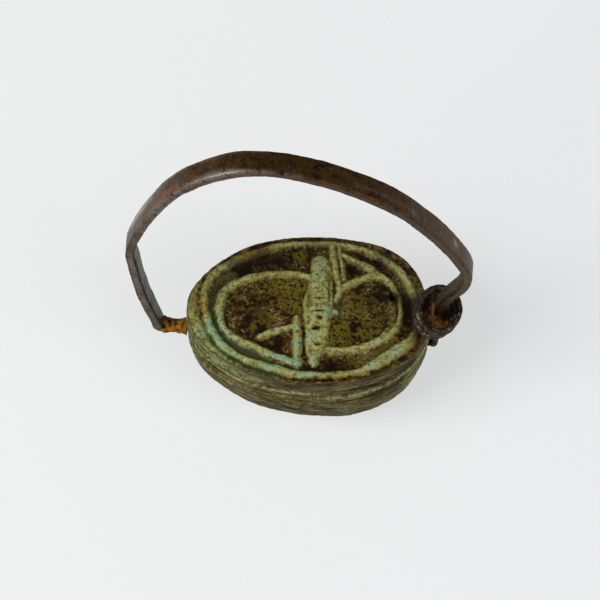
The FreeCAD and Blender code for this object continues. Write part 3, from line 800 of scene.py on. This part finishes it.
def side_relief(points, settings):
    """How far the wall and back stand out or in, and the glaze mask there."""
    x, y, z = points.T
    share = x / (settings.length / MM / 2)
    angle = np.arctan2(y / settings.width, x / settings.length)
    flow = np.stack([angle * 2.2, 0 * angle, z * 4.0], axis=-1)
    lines = grain(flow, 1.0, 4.0, 3)
    fine = grain(flow * (1.6, 1, 2.4), 1.0, 7.0, 2)
    head = 1 - smooth_step(0.0, 0.35, share)
    tail = smooth_step(-0.05, 0.2, share)
    upper_z = PLATE_BOTTOM - 0.17 + 0.1 * share
    lower_z = 0.72 + 0.25 * share

    recess = plateau(z, 0.35, 0.6, 1.35, 1.5)
    upper = bell(z, upper_z, 0.12) * head
    lower = bell(z, lower_z, 0.15) * tail
    third = bell(z, 0.3 + 0.1 * share, 0.12) * head
    height = -0.12 * bell(z, PLATE_BOTTOM, 0.07) - 0.22 * recess + 0.12 * upper + 0.24 * lower
    on_wall = smooth_step(-0.6, 0.0, z)
    height = height + 0.1 * third + (0.04 * lines + 0.02 * fine) * on_wall
    front = smooth_step(1.0, 3.0, -y)
    low = 1 - smooth_step(0.2, 1.0, z)
    hips = plateau(share, 0.05, 0.4, 0.7, 0.98)
    chest = plateau(share, -0.9, -0.65, -0.2, 0.0)
    height = height + front * low * (0.17 * hips - 0.1 * chest)

    back = 1 - smooth_step(-1.6, -0.7, z)
    middle = 1 - smooth_step(3.2, 4.3, np.abs(y))
    neck = bell(x + 5.3 - 0.05 * y ** 2, 0, 0.16) * middle
    thorax = bell(x + 2.0 + 0.035 * y ** 2, 0, 0.15) * middle
    wings = bell(y, 0, 0.11) * smooth_step(-2.0, -1.8, x)
    notch = bell(np.hypot(x + 1.9, np.abs(y) - 3.3), 0, 0.4)
    stripes = 0.5 + 0.5 * np.cos(np.abs(y) * 2 * math.pi / 0.62)
    on_wings = smooth_step(-1.8, -1.3, x) * (1 - smooth_step(-2.6, -1.5, z))
    eyes = bell(np.hypot(x + 5.9, np.abs(y) - 2.3), 0, 0.42)
    plate = bell(np.abs(y) - 0.12 * (x + 7.5), 0.9, 0.12)
    plate = plate * (1 - smooth_step(-5.8, -5.4, x))
    height = height - back * (0.2 * neck + 0.2 * thorax + 0.18 * wings + 0.14 * notch
                              + 0.1 * plate - 0.16 * eyes)
    height = height - 0.05 * on_wings * stripes * (1 - bell(np.abs(y), 0, 0.4))
    glaze = 0.7 * upper + 0.9 * lower + 0.4 * third + 0.2 * smooth_step(0.15, 0.5, lines)
    carved = np.clip(neck + thorax + wings, 0, 1) * back
    glaze = glaze * on_wall + (1 - smooth_step(-3.2, -2.4, z)) * 0.5 * (1 - carved)
    return height, np.clip(glaze, 0, 1)


def drill_bore(scarab):
    """Cuts the bore with its flared mouths from tip to tip."""
    reach = (SCARAB_HIGH.x - SCARAB_LOW.x) / MM / 2
    stations = ((-reach - 1, MOUTH_RADIUS), (-reach, MOUTH_RADIUS),
                (-reach + MOUTH_DEPTH, BORE_RADIUS), (reach - MOUTH_DEPTH, BORE_RADIUS),
                (reach, MOUTH_RADIUS), (reach + 1, MOUTH_RADIUS))
    rings = len(stations)
    end = (rings - 1) * BORE_SIDES
    faces = ring_quads(rings, BORE_SIDES)
    faces += [list(range(BORE_SIDES))[::-1], list(range(end, end + BORE_SIDES))]
    points = round_rings(stations, BORE_SIDES)
    drill = make_object("drill", points, faces, scarab.data.materials[0])
    cut = scarab.modifiers.new("bore", "BOOLEAN")
    cut.operation = "DIFFERENCE"
    cut.solver = "EXACT"
    cut.object = drill
    as_plain_mesh(scarab)
    bpy.data.objects.remove(drill)
    scarab.data.shade_smooth()


class RING_OT_scarab(Operator):
    """Builds the carved and glazed scarab"""
    bl_idname = "ring.scarab"
    bl_label = "Scarab"

    def execute(self, context):
        settings = context.scene.ring_scarab
        points, faces, face_count = scarab_body(settings)
        stone = glazed_steatite(settings)
        body = make_object("scarab_stone", points, faces, stone)
        normals = np.zeros(len(points) * 3, np.float32)
        body.data.vertex_normals.foreach_get("vector", normals)
        bpy.data.objects.remove(body)

        from_face = settings.face_height / MM - points[:, 2]
        on_side = smooth_step(0.02, EDGE_ROUND, from_face)
        on_side[:face_count] = 0
        top = 1 - on_side
        height, glaze = (face * top + side * on_side for face, side in zip(
            face_relief(points[:, :2], settings), side_relief(points, settings)))
        rough = grain(points, 0.35, 1.0, 3)
        height = height + rough * (0.012 + 0.014 * (1 - glaze))
        points = points + normals.reshape(-1, 3) * height[:, None]

        flat = points[:, :2]
        foot = bell(points[:, 0], 5.0, 1.6) * bell(points[:, 2], 0.1, 0.8)
        foot = foot * on_side * (points[:, 1] < 0)
        attributes = {
            "ridge": glaze,
            "teal": patches(flat, TEAL_PATCHES) * top,
            "ochre": patches(flat, OCHRE_PATCHES) * top,
            "olive": patches(flat, OLIVE_PATCHES) * top,
            "green": patches(flat, GREEN_PATCHES) * top,
            # Stains, the winding's painted shadow near the right tip, and a darker patch low on
            # the front wall.
            "stain_and_shadow": 0.92 * patches(flat, DARK_PATCHES) * top + 0.4 * foot,
            "pale": patches(points[:, ::2], PALE_WALL) * on_side * (points[:, 1] < 1.0),
            "side": on_side,
        }
        turn = settings.turn
        y = points[:, 1] * math.cos(turn) - points[:, 2] * math.sin(turn)
        z = points[:, 1] * math.sin(turn) + points[:, 2] * math.cos(turn)
        z = np.maximum(z, -BORE.z / MM + FLOOR_GAP)
        points = np.stack([points[:, 0], y, z], axis=-1)
        scarab = make_object("scarab_stone", points, faces, stone, attributes)
        drill_bore(scarab)
        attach(scarab, "scarab")
        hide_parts("scarab")
        return {"FINISHED"}


# Hoop

HOOP_STATIONS = 560
HOOP_SWAY = -0.05
# How far the patina is worn grey: share of the run, and strength
HOOP_WEAR = (
    (0.0, 0.1), (0.1, 0.3), (0.2, 0.32), (0.27, 0.12), (0.36, 0.05), (0.42, -0.05), (0.5, -0.08),
    (0.62, -0.1), (0.7, -0.08), (0.8, -0.05), (0.86, 0.0), (0.91, 0.1), (0.94, 0.0), (1.0, 0.0),
)
# Where along the run the looks change: a rusty patch, a painted sheen, a painted highlight streak,
# a spot and a painted highlight glow
HOOP_RUSTY = 0.38
HOOP_SHINE = 0.29
HOOP_HIGHLIGHT_STREAK = 0.68
HOOP_SPOT = 0.807
HOOP_GLOW = 0.465
# The rounding of the ends: how far a ring shrinks and how far out it lies
HOOP_END_STEPS = ((0.85, 0.06), (0.55, 0.1), (0.25, 0.12), (0.0, 0.12))
WINDING_TOP_Z = 6.27
SHANK_TOP_Z = 7.72
SHANK_X = 8.6


def tip_and_foot():
    """How far the scarab's tips and the hoop's foot are from the bore's middle."""
    scene = bpy.context.scene
    tip = scene.ring_scarab.length / 2
    return tip / MM, (tip + scene.ring_wire.neck_length) / MM


def hoop_stations(settings):
    """Middle line, width and thickness of the hoop, from its foot to the shank's end."""
    foot_x = -tip_and_foot()[1]
    pin = bpy.context.scene.ring_wire.pin_diameter / MM
    span, height = settings.span / MM, settings.height / MM
    band, thick = settings.band_width / MM, settings.band_thickness / MM
    stations = [(foot_x, 0.0, 0.95, pin), (foot_x - pin / 4, pin / 20, 0.95, pin),
                (foot_x - pin / 1.8, pin / 2.8, 0.93, pin * 0.92)]
    for shares, base in ((FIRST_HALF_SHARES, 0.0), (SECOND_HALF_SHARES, SHANK_TOP_Z)):
        for x, z, w, t in shares:
            stations.append((x * span, base + z * (height - base), w * band, t * thick))
    stations.append((SHANK_X + 0.42, SHANK_TOP_Z, 1.0, 0.58))
    stations.append((SHANK_X + 0.1, WINDING_TOP_Z, 0.95, 0.74))
    stations.append((SHANK_X - 0.05, 4.9, 0.8, 0.72))
    return smooth_line(stations, steps=24)


def resample(line, count):
    """The line's rows at even steps of its length, and the length up to each."""
    steps = np.hypot(*np.diff(line[:, :2], axis=0).T)
    run = np.concatenate([[0], np.cumsum(steps)])
    marks = np.linspace(0, run[-1], count)
    return np.stack([np.interp(marks, run, column) for column in line.T], axis=-1), marks


def band_outline(corner_points=4, side_points=5):
    """A rounded rectangle: for each point its corner, then the direction from that corner."""
    outline = []
    for sx, sy, start in ((1, 1, 0), (-1, 1, 90), (-1, -1, 180), (1, -1, 270)):
        for i in range(corner_points):
            angle = math.radians(start + 90 * i / (corner_points - 1))
            outline.append((sx, sy, math.cos(angle), math.sin(angle)))
    points = []
    for i, here in enumerate(outline):
        points.append(here)
        if i % corner_points == corner_points - 1:
            after = outline[(i + 1) % len(outline)]
            for k in range(1, side_points):
                share = k / side_points
                points.append(tuple(a + (b - a) * share for a, b in zip(here, after)))
    return np.array(points)


class RING_OT_hoop(Operator):
    """Builds the hammered hoop"""
    bl_idname = "ring.hoop"
    bl_label = "Hoop"

    def execute(self, context):
        settings = context.scene.ring_hoop
        line, marks = resample(hoop_stations(settings), HOOP_STATIONS)
        sway = HOOP_SWAY * np.sin(math.pi * marks / marks[-1])
        centre = np.stack([line[:, 0], sway, line[:, 1]], axis=-1)
        along = np.gradient(centre, axis=0)
        along /= np.linalg.norm(along, axis=1)[:, None]
        out = np.cross(along, (0, 1, 0))
        outline = band_outline()
        sides = len(outline)
        run = np.stack([marks, 0 * marks, 0 * marks], axis=-1)
        wide = line[:, 2] / 2 * (1 + 0.035 * grain(run, 2.4, 5))
        thick = line[:, 3] / 2 * (1 + 0.06 * grain(run, 1.7, 9))
        rounding = 0.16 * line[:, 3]
        points = []
        for k in range(HOOP_STATIONS):
            y = (wide[k] - rounding[k]) * outline[:, 0] + rounding[k] * outline[:, 2]
            t = (thick[k] - rounding[k]) * outline[:, 1] + rounding[k] * outline[:, 3]
            points.append(centre[k] + y[:, None] * np.array((0, 1, 0)) + t[:, None] * out[k])
        points = np.vstack(points)
        away = points - np.repeat(centre, sides, axis=0)
        away /= np.linalg.norm(away, axis=1)[:, None]
        dents = 0.03 * grain(points, 1.6, 2) + 0.02 * grain(points, 0.5, 6, 3)
        points = points + away * dents[:, None]

        worn = np.interp(marks / marks[-1], *np.array(HOOP_WEAR).T)
        worn = np.repeat(worn, sides) * (1 + 0.5 * grain(points, 1.4, 12))
        share = np.repeat(marks / marks[-1], sides)
        across, through, side, face = np.tile(outline, (HOOP_STATIONS, 1)).T
        facing, outer = side < -0.9, face > 0.9
        corners = (across * through) ** 4
        crown = plateau(share, 0.25, 0.4, 0.5, 0.6)
        shine = bell(share, HOOP_SHINE, 0.055) * smooth_step(-0.3, 0.8, across)
        streak = bell(share, HOOP_HIGHLIGHT_STREAK, 0.09) * bell(across, -0.3, 0.4)
        spot = bell(share, HOOP_SPOT, 0.008) * bell(across, 0.1, 0.35)
        glow = bell(share, HOOP_GLOW, 0.045) * smooth_step(0.2, 0.9, -across)
        patch = bell(share, HOOP_RUSTY, 0.055) * smooth_step(-0.3, 0.5, -across)
        # Wear greys the patina; the same mask carries painted highlights: a sheen on the left
        # shoulder's outer face, a streak along the right half, a glow low on the crown's front,
        # and the crown's front facet. The crown's corners are worn grey.
        wear_and_highlight = worn + outer * (1.3 * shine + 0.45 * streak)
        wear_and_highlight = wear_and_highlight + (0.3 * facing + 0.5 * corners) * crown
        wear_and_highlight = wear_and_highlight * (1 - smooth_step(0.88, 0.94, share))
        lower = facing * plateau(share, 0.5, 0.62, 0.84, 0.9)
        corner = corners * (0.3 + 0.6 * (1 - smooth_step(0.2, 0.3, share)))
        attributes = {
            "wear_and_highlight": wear_and_highlight + outer * (1.2 * spot + 0.75 * glow),
            "inside": (0.8 - 0.45 * smooth_step(0.84, 0.92, share)) * (face < -0.9),
            "rusty": outer * (0.21 * patch + 0.09 * crown) + 0.4 * spot,
            "corner": corner + 0.5 * smooth_step(0.88, 0.95, share) + 0.4 * lower,
        }

        # Each end closes with smaller rings and, as its last step, a pole
        ends = []
        for k, direction in ((0, -1), (HOOP_STATIONS - 1, 1)):
            ring = points[k * sides:(k + 1) * sides]
            steps = [centre[k] + (ring - centre[k]) * shrink + along[k] * direction * push
                     for shrink, push in HOOP_END_STEPS]
            ends.append([*steps[:-1], steps[-1][:1]])
        points = np.vstack([*ends[0][::-1], points, *ends[1]])
        end_rings = len(HOOP_END_STEPS) - 1
        faces = closed_tube(HOOP_STATIONS + 2 * end_rings, sides)
        bare = np.zeros(end_rings * sides + 1)
        attributes = {name: np.concatenate([bare, values, bare])
                      for name, values in attributes.items()}
        hoop = make_object("hoop_band", points, faces, hammered_bronze(settings), attributes)
        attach(hoop, "ring")
        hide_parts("hoop")
        return {"FINISHED"}


# Wire

def wound_wire_tree():
    """Nodes that give a path its round wire, with a corroded skin."""
    tree = bpy.data.node_groups.new("wound_wire", "GeometryNodeTree")
    for name, kind in (("Path", "NodeSocketGeometry"), ("Radius", "NodeSocketFloat"),
                       ("Sides", "NodeSocketInt"), ("Pitting", "NodeSocketFloat"),
                       ("Pit size", "NodeSocketFloat"), ("Material", "NodeSocketMaterial")):
        tree.interface.new_socket(name, in_out="INPUT", socket_type=kind)
    tree.interface.new_socket("Wire", in_out="OUTPUT", socket_type="NodeSocketGeometry")
    given = add_node(tree, "NodeGroupInput").outputs
    ring = add_node(tree, "GeometryNodeCurvePrimitiveCircle",
                    {"Resolution": given["Sides"], "Radius": given["Radius"]})
    radius = add_node(tree, "GeometryNodeInputRadius")
    tube = add_node(tree, "GeometryNodeCurveToMesh",
                    {"Curve": given["Path"], "Profile Curve": ring.outputs["Curve"],
                     "Fill Caps": True})
    if "Scale" in tube.inputs:
        tree.links.new(radius.outputs[0], tube.inputs["Scale"])
    per_metre = add_node(tree, "ShaderNodeMath", {0: 1.0, 1: given["Pit size"]},
                         operation="DIVIDE")
    place = add_node(tree, "GeometryNodeInputPosition")
    pits = add_node(tree, "ShaderNodeTexNoise",
                    {"Vector": place.outputs[0], "Scale": per_metre.outputs[0], "Detail": 3.0})
    level = add_node(tree, "ShaderNodeMath", {0: pits.outputs["Fac"], 1: 0.5},
                     operation="SUBTRACT")
    push = add_node(tree, "ShaderNodeMath", {0: level.outputs[0], 1: given["Pitting"]},
                    operation="MULTIPLY")
    normal = add_node(tree, "GeometryNodeInputNormal")
    offset = add_node(tree, "ShaderNodeVectorMath",
                      {0: normal.outputs[0], "Scale": push.outputs[0]}, operation="SCALE")
    moved = add_node(tree, "GeometryNodeSetPosition",
                     {"Geometry": tube.outputs["Mesh"], "Offset": offset.outputs[0]})
    smooth = add_node(tree, "GeometryNodeSetShadeSmooth", {"Geometry": moved.outputs["Geometry"]})
    real = add_node(tree, "GeometryNodeRealizeInstances",
                    {"Geometry": smooth.outputs["Geometry"]})
    painted = add_node(tree, "GeometryNodeSetMaterial",
                       {"Geometry": real.outputs["Geometry"], "Material": given["Material"]})
    add_node(tree, "NodeGroupOutput", {"Wire": painted.outputs["Geometry"]})
    return tree


def use_tree(maker, tree, **values):
    """Gives an object a nodes modifier with its inputs set by name."""
    modifier = maker.modifiers.new("build", "NODES")
    modifier.node_group = tree
    for item in tree.interface.items_tree:
        key = item.name.lower().replace(" ", "_")
        if item.item_type == "SOCKET" and item.in_out == "INPUT" and key in values:
            modifier[item.identifier] = values[key]


# The winding: its middle and half sizes across and along, its lowest turn and its pitch
WINDING_START_DEG = 45
WINDING_X = 8.13
WINDING_LEAN = 0.23
WINDING_HALF = (1.26, 1.58)
WINDING_BOTTOM_Z = 4.42
WINDING_PITCH = 0.45
WINDING_STEPS = 36
# The free end gets thinner over this share of a turn
WINDING_TAPER = 0.7
# From the scarab's right tip up to the winding: x from the tip, y, z and the radius as a share
WIRE_RISE = (
    (-0.25, 0, 0, 1.1), (0, -0.03, 0, 1), (0.22, -0.1, 0.06, 1), (0.28, -0.08, 0.4, 1),
    (0.36, 0.2, 1.3, 1), (0.55, 0.5, 2.4, 1), (0.85, 0.82, 3.5, 1),
)
# The neck's crust: how far beyond the scarab's left tip, and its radius
NECK_PROFILE = (
    (1.72, 0.4), (1.64, 0.52), (1.5, 0.54), (1.2, 0.48), (0.8, 0.46), (0.4, 0.49), (0.15, 0.6),
    (0.03, 0.64),
)
NECK_SIDES = 56
CRUST_CELLS = 48


def winding_path(settings):
    """The wire's path and its radius shares: through the bore, up, and round the shank."""
    tip_x, foot_x = tip_and_foot()
    wide = settings.pin_diameter / settings.wire_diameter
    rows = [(x, 0, 0, wide) for x in np.linspace(-foot_x, tip_x - 0.45, 30)]
    lead = [(tip_x + x, y, z, size) for x, y, z, size in WIRE_RISE]
    turns = []
    count = int(settings.turns * WINDING_STEPS)
    for i in range(count + 1):
        turn = settings.turns * i / count
        angle = math.radians(WINDING_START_DEG) - 2 * math.pi * turn
        x = WINDING_X + WINDING_LEAN * turn + WINDING_HALF[0] * math.cos(angle)
        y = WINDING_HALF[1] * math.sin(angle)
        z = WINDING_BOTTOM_Z + WINDING_PITCH * turn
        size = 1.0 - 0.55 * max(turn - settings.turns + WINDING_TAPER, 0) / WINDING_TAPER
        turns.append((x, y, z, size))
    turns.append((x - 0.16, y + 0.05, z + 0.02, 0.3))
    line = smooth_line(lead + turns[1:], steps=5)
    return np.vstack([np.array(rows), line])


def neck_crust():
    """The lumpy crust round the bare neck of the wire."""
    tip, _ = tip_and_foot()
    profile = smooth_line([(-tip - x, radius) for x, radius in NECK_PROFILE], steps=10)
    points = np.array([(profile[0, 0], 0, 0), *round_rings(profile, NECK_SIDES),
                       (profile[-1, 0], 0, 0)])
    away = points * (0, 1, 1)
    size = np.maximum(np.linalg.norm(away, axis=1), 1e-6)
    lumps = 0.06 * grain(points, 0.42, 7, 3) + 0.03 * grain(points, 0.16, 3)
    points = points + away / size[:, None] * (lumps * (size > 0.1))[:, None]
    points = points - np.array((0, 0.03, 0.06))
    return points, closed_tube(len(profile), NECK_SIDES), {"fresh": np.ones(len(points))}


def coil_crust():
    """The rough mass of corrosion inside the winding, raised against the shank."""
    disc, faces, rim = disc_grid(CRUST_CELLS)
    x = 8.42 + 1.12 * disc[:, 0]
    y = -0.02 + 1.42 * disc[:, 1]
    reach = np.hypot(disc[:, 0], disc[:, 1])
    flat = np.stack([x, y, 0 * x], axis=-1)
    z = 4.75 + 0.2 * reach ** 2 + 0.16 * grain(flat, 0.5, 4, 3) + 0.06 * grain(flat, 0.2, 9)
    z = z + 1.5 * bell(x, 8.42, 0.3) * bell(y, 0.05, 0.42)
    z = z - 0.35 * bell(x, 9.25, 0.35) * bell(y, -0.2, 0.6)
    top = np.stack([x, y, z], axis=-1)
    bottom = np.stack([x, y, 4.25 + 0.06 * grain(flat, 0.4, 2)], axis=-1)
    count = len(disc)
    after = np.roll(rim, -1)
    wall = np.stack([rim, count + rim, count + after, after], axis=-1)
    faces = np.vstack([faces, count + faces[:, ::-1], wall]).tolist()
    fresh = 0.65 * bell(x, 8.6, 0.6) * bell(y, -1.1, 0.35)
    fresh = fresh + 0.5 * bell(x, 8.1, 0.12) * bell(y, 0.3, 0.3)
    return np.vstack([top, bottom]), faces, {"fresh": np.concatenate([fresh, np.zeros(count)])}


class RING_OT_wire(Operator):
    """Builds the wire: the pin, its bend and the winding round the shank"""
    bl_idname = "ring.wire"
    bl_label = "Wire"

    def execute(self, context):
        settings = context.scene.ring_wire
        path = winding_path(settings)
        curve = bpy.data.curves.new("swivel_wire_wound", "CURVE")
        curve.dimensions = "3D"
        spline = curve.splines.new("POLY")
        spline.points.add(len(path) - 1)
        places = path[:, :3] * MM + np.array(BORE)
        for point, place, share in zip(spline.points, places, path[:, 3]):
            point.co = (*place, 1.0)
            point.radius = share
        maker = add_object("swivel_wire_wound", curve)
        use_tree(maker, wound_wire_tree(), radius=settings.wire_diameter / 2,
                 sides=settings.sides, pitting=0.09 * MM, pit_size=0.3 * MM,
                 material=bronze_wire(settings))
        wire = as_plain_mesh(maker)
        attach(wire, "ring")
        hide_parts("swivel_wire")
        return {"FINISHED"}


class RING_OT_crusts(Operator):
    """Builds the crusts on the neck and inside the winding"""
    bl_idname = "ring.crusts"
    bl_label = "Crusts"

    def execute(self, context):
        settings = context.scene.ring_wire
        material = rust_crust(settings)
        for name, (points, faces, attributes) in (("neck_crust", neck_crust()),
                                                  ("winding_crust", coil_crust())):
            crust = make_object(name, points, faces, material, attributes)
            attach(crust, "ring")
        return {"FINISHED"}


# Stage

FLOOR_HALF = 3.0
CAMERA_SENSOR = 36.0
CAMERA_LENS = 225.0
CAMERA_START = 0.01
WORLD_COLOUR = (0.95, 0.97, 1.0, 1)
WORLD_STRENGTH = 0.24
# The lamps: name, size, watts and place
LAMPS = (("key", 0.22, 1.15, (-0.25, -0.12, 0.22)), ("fill", 0.26, 0.6, (0.25, -0.14, 0.2)))


def studio_floor(settings):
    """Smooth pale card: the camera sees it near white, and it keeps a faint shadow."""
    material, tree = new_material("studio_floor")
    card = add_node(tree, "ShaderNodeBsdfDiffuse", {"Color": (*settings.floor, 1.0)})
    coordinates = add_node(tree, "ShaderNodeTexCoord")
    fall = add_node(tree, "ShaderNodeSeparateXYZ", {"Vector": coordinates.outputs["Object"]})
    across = add_node(tree, "ShaderNodeMapRange", {"Value": fall.outputs["X"], "From Min": -0.02,
                                                   "From Max": 0.03})
    colour = laid_over(tree, "#F1F3F2", (across.outputs["Result"], "#EDF0F0"))
    bright = add_node(tree, "ShaderNodeEmission", {"Color": colour, "Strength": 1.0})
    path = add_node(tree, "ShaderNodeLightPath").outputs
    seen = add_node(tree, "ShaderNodeMath", {0: path["Is Camera Ray"], 1: path["Is Glossy Ray"]},
                    operation="MAXIMUM")
    seen = add_node(tree, "ShaderNodeMath", {0: seen.outputs[0], 1: path["Is Transmission Ray"]},
                    operation="MAXIMUM")
    share = add_node(tree, "ShaderNodeMath", {0: seen.outputs[0], 1: 0.6}, operation="MULTIPLY")
    shader = add_node(tree, "ShaderNodeMixShader",
                      {0: share.outputs[0], 1: card.outputs[0], 2: bright.outputs[0]})
    add_node(tree, "ShaderNodeOutputMaterial", {"Surface": shader.outputs[0]})
    return material


def aim(thing, place, target):
    """Puts a lamp or camera in its place and points it at a target."""
    thing.location = place
    thing.rotation_euler = (Vector(target) - Vector(place)).to_track_quat("-Z", "Y").to_euler()


class RING_OT_stage(Operator):
    """Builds the floor, the light and the camera"""
    bl_idname = "ring.stage"
    bl_label = "Stage"

    def execute(self, context):
        settings = context.scene.ring_stage
        scene = context.scene
        scene.view_settings.view_transform = "Standard"
        half = FLOOR_HALF
        mesh = bpy.data.meshes.new("floor")
        mesh.from_pydata([(-half, -half, 0), (half, -half, 0), (half, half, 0), (-half, half, 0)],
                         [], [(0, 1, 2, 3)])
        mesh.materials.append(studio_floor(settings))
        floor = add_object("floor", mesh)

        world = bpy.data.worlds.new("studio")
        scene.world = world
        world.use_nodes = True
        sky = world.node_tree.nodes["Background"].inputs
        sky["Color"].default_value = WORLD_COLOUR
        sky["Strength"].default_value = WORLD_STRENGTH
        for name, size, watts, place in LAMPS:
            lamp = bpy.data.lights.new(name, "AREA")
            lamp.size = size
            lamp.energy = watts
            aim(add_object(name, lamp), place, BORE)

        azimuth, elevation = settings.azimuth, settings.elevation
        right = Vector((math.cos(azimuth), math.sin(azimuth), 0))
        back = Vector((math.sin(azimuth) * math.cos(elevation),
                       -math.cos(azimuth) * math.cos(elevation), math.sin(elevation)))
        up = back.cross(right)
        place = BORE + back * settings.distance
        target = BORE + right * settings.across + up * settings.up
        data = bpy.data.cameras.new("camera")
        data.sensor_width = CAMERA_SENSOR
        data.lens = CAMERA_LENS
        data.clip_start = CAMERA_START
        camera = add_object("camera", data)
        aim(camera, place, target)
        scene.camera = camera
        return {"FINISHED"}


class RING_PT_panel(Panel):
    """Settings and builders of the ring"""
    bl_idname = "RING_PT_panel"
    bl_label = "Scarab swivel ring"
    bl_space_type = "VIEW_3D"
    bl_region_type = "UI"
    bl_category = "Ring"

    def draw(self, context):
        for name, group in SETTINGS.items():
            box = self.layout.box()
            values = getattr(context.scene, name)
            for key in group.__annotations__:
                box.prop(values, key)
        for operator in OPERATORS:
            self.layout.operator(operator.bl_idname)


SETTINGS = {
    "ring_scarab": ScarabSettings,
    "ring_hoop": HoopSettings,
    "ring_wire": WireSettings,
    "ring_stage": StageSettings,
}
OPERATORS = (RING_OT_scarab, RING_OT_hoop, RING_OT_wire, RING_OT_crusts, RING_OT_stage)


def register():
    for group in SETTINGS.values():
        bpy.utils.register_class(group)
    for operator in OPERATORS:
        bpy.utils.register_class(operator)
    bpy.utils.register_class(RING_PT_panel)
    for name, group in SETTINGS.items():
        setattr(bpy.types.Scene, name, PointerProperty(type=group))


def unregister():
    for name in SETTINGS:
        delattr(bpy.types.Scene, name)
    bpy.utils.unregister_class(RING_PT_panel)
    for operator in reversed(OPERATORS):
        bpy.utils.unregister_class(operator)
    for group in reversed(SETTINGS.values()):
        bpy.utils.unregister_class(group)


def main():
    """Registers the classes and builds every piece."""
    register()
    for operator in OPERATORS:
        group, name = operator.bl_idname.split(".")
        getattr(getattr(bpy.ops, group), name)()


if __name__ == "__main__":
    main()
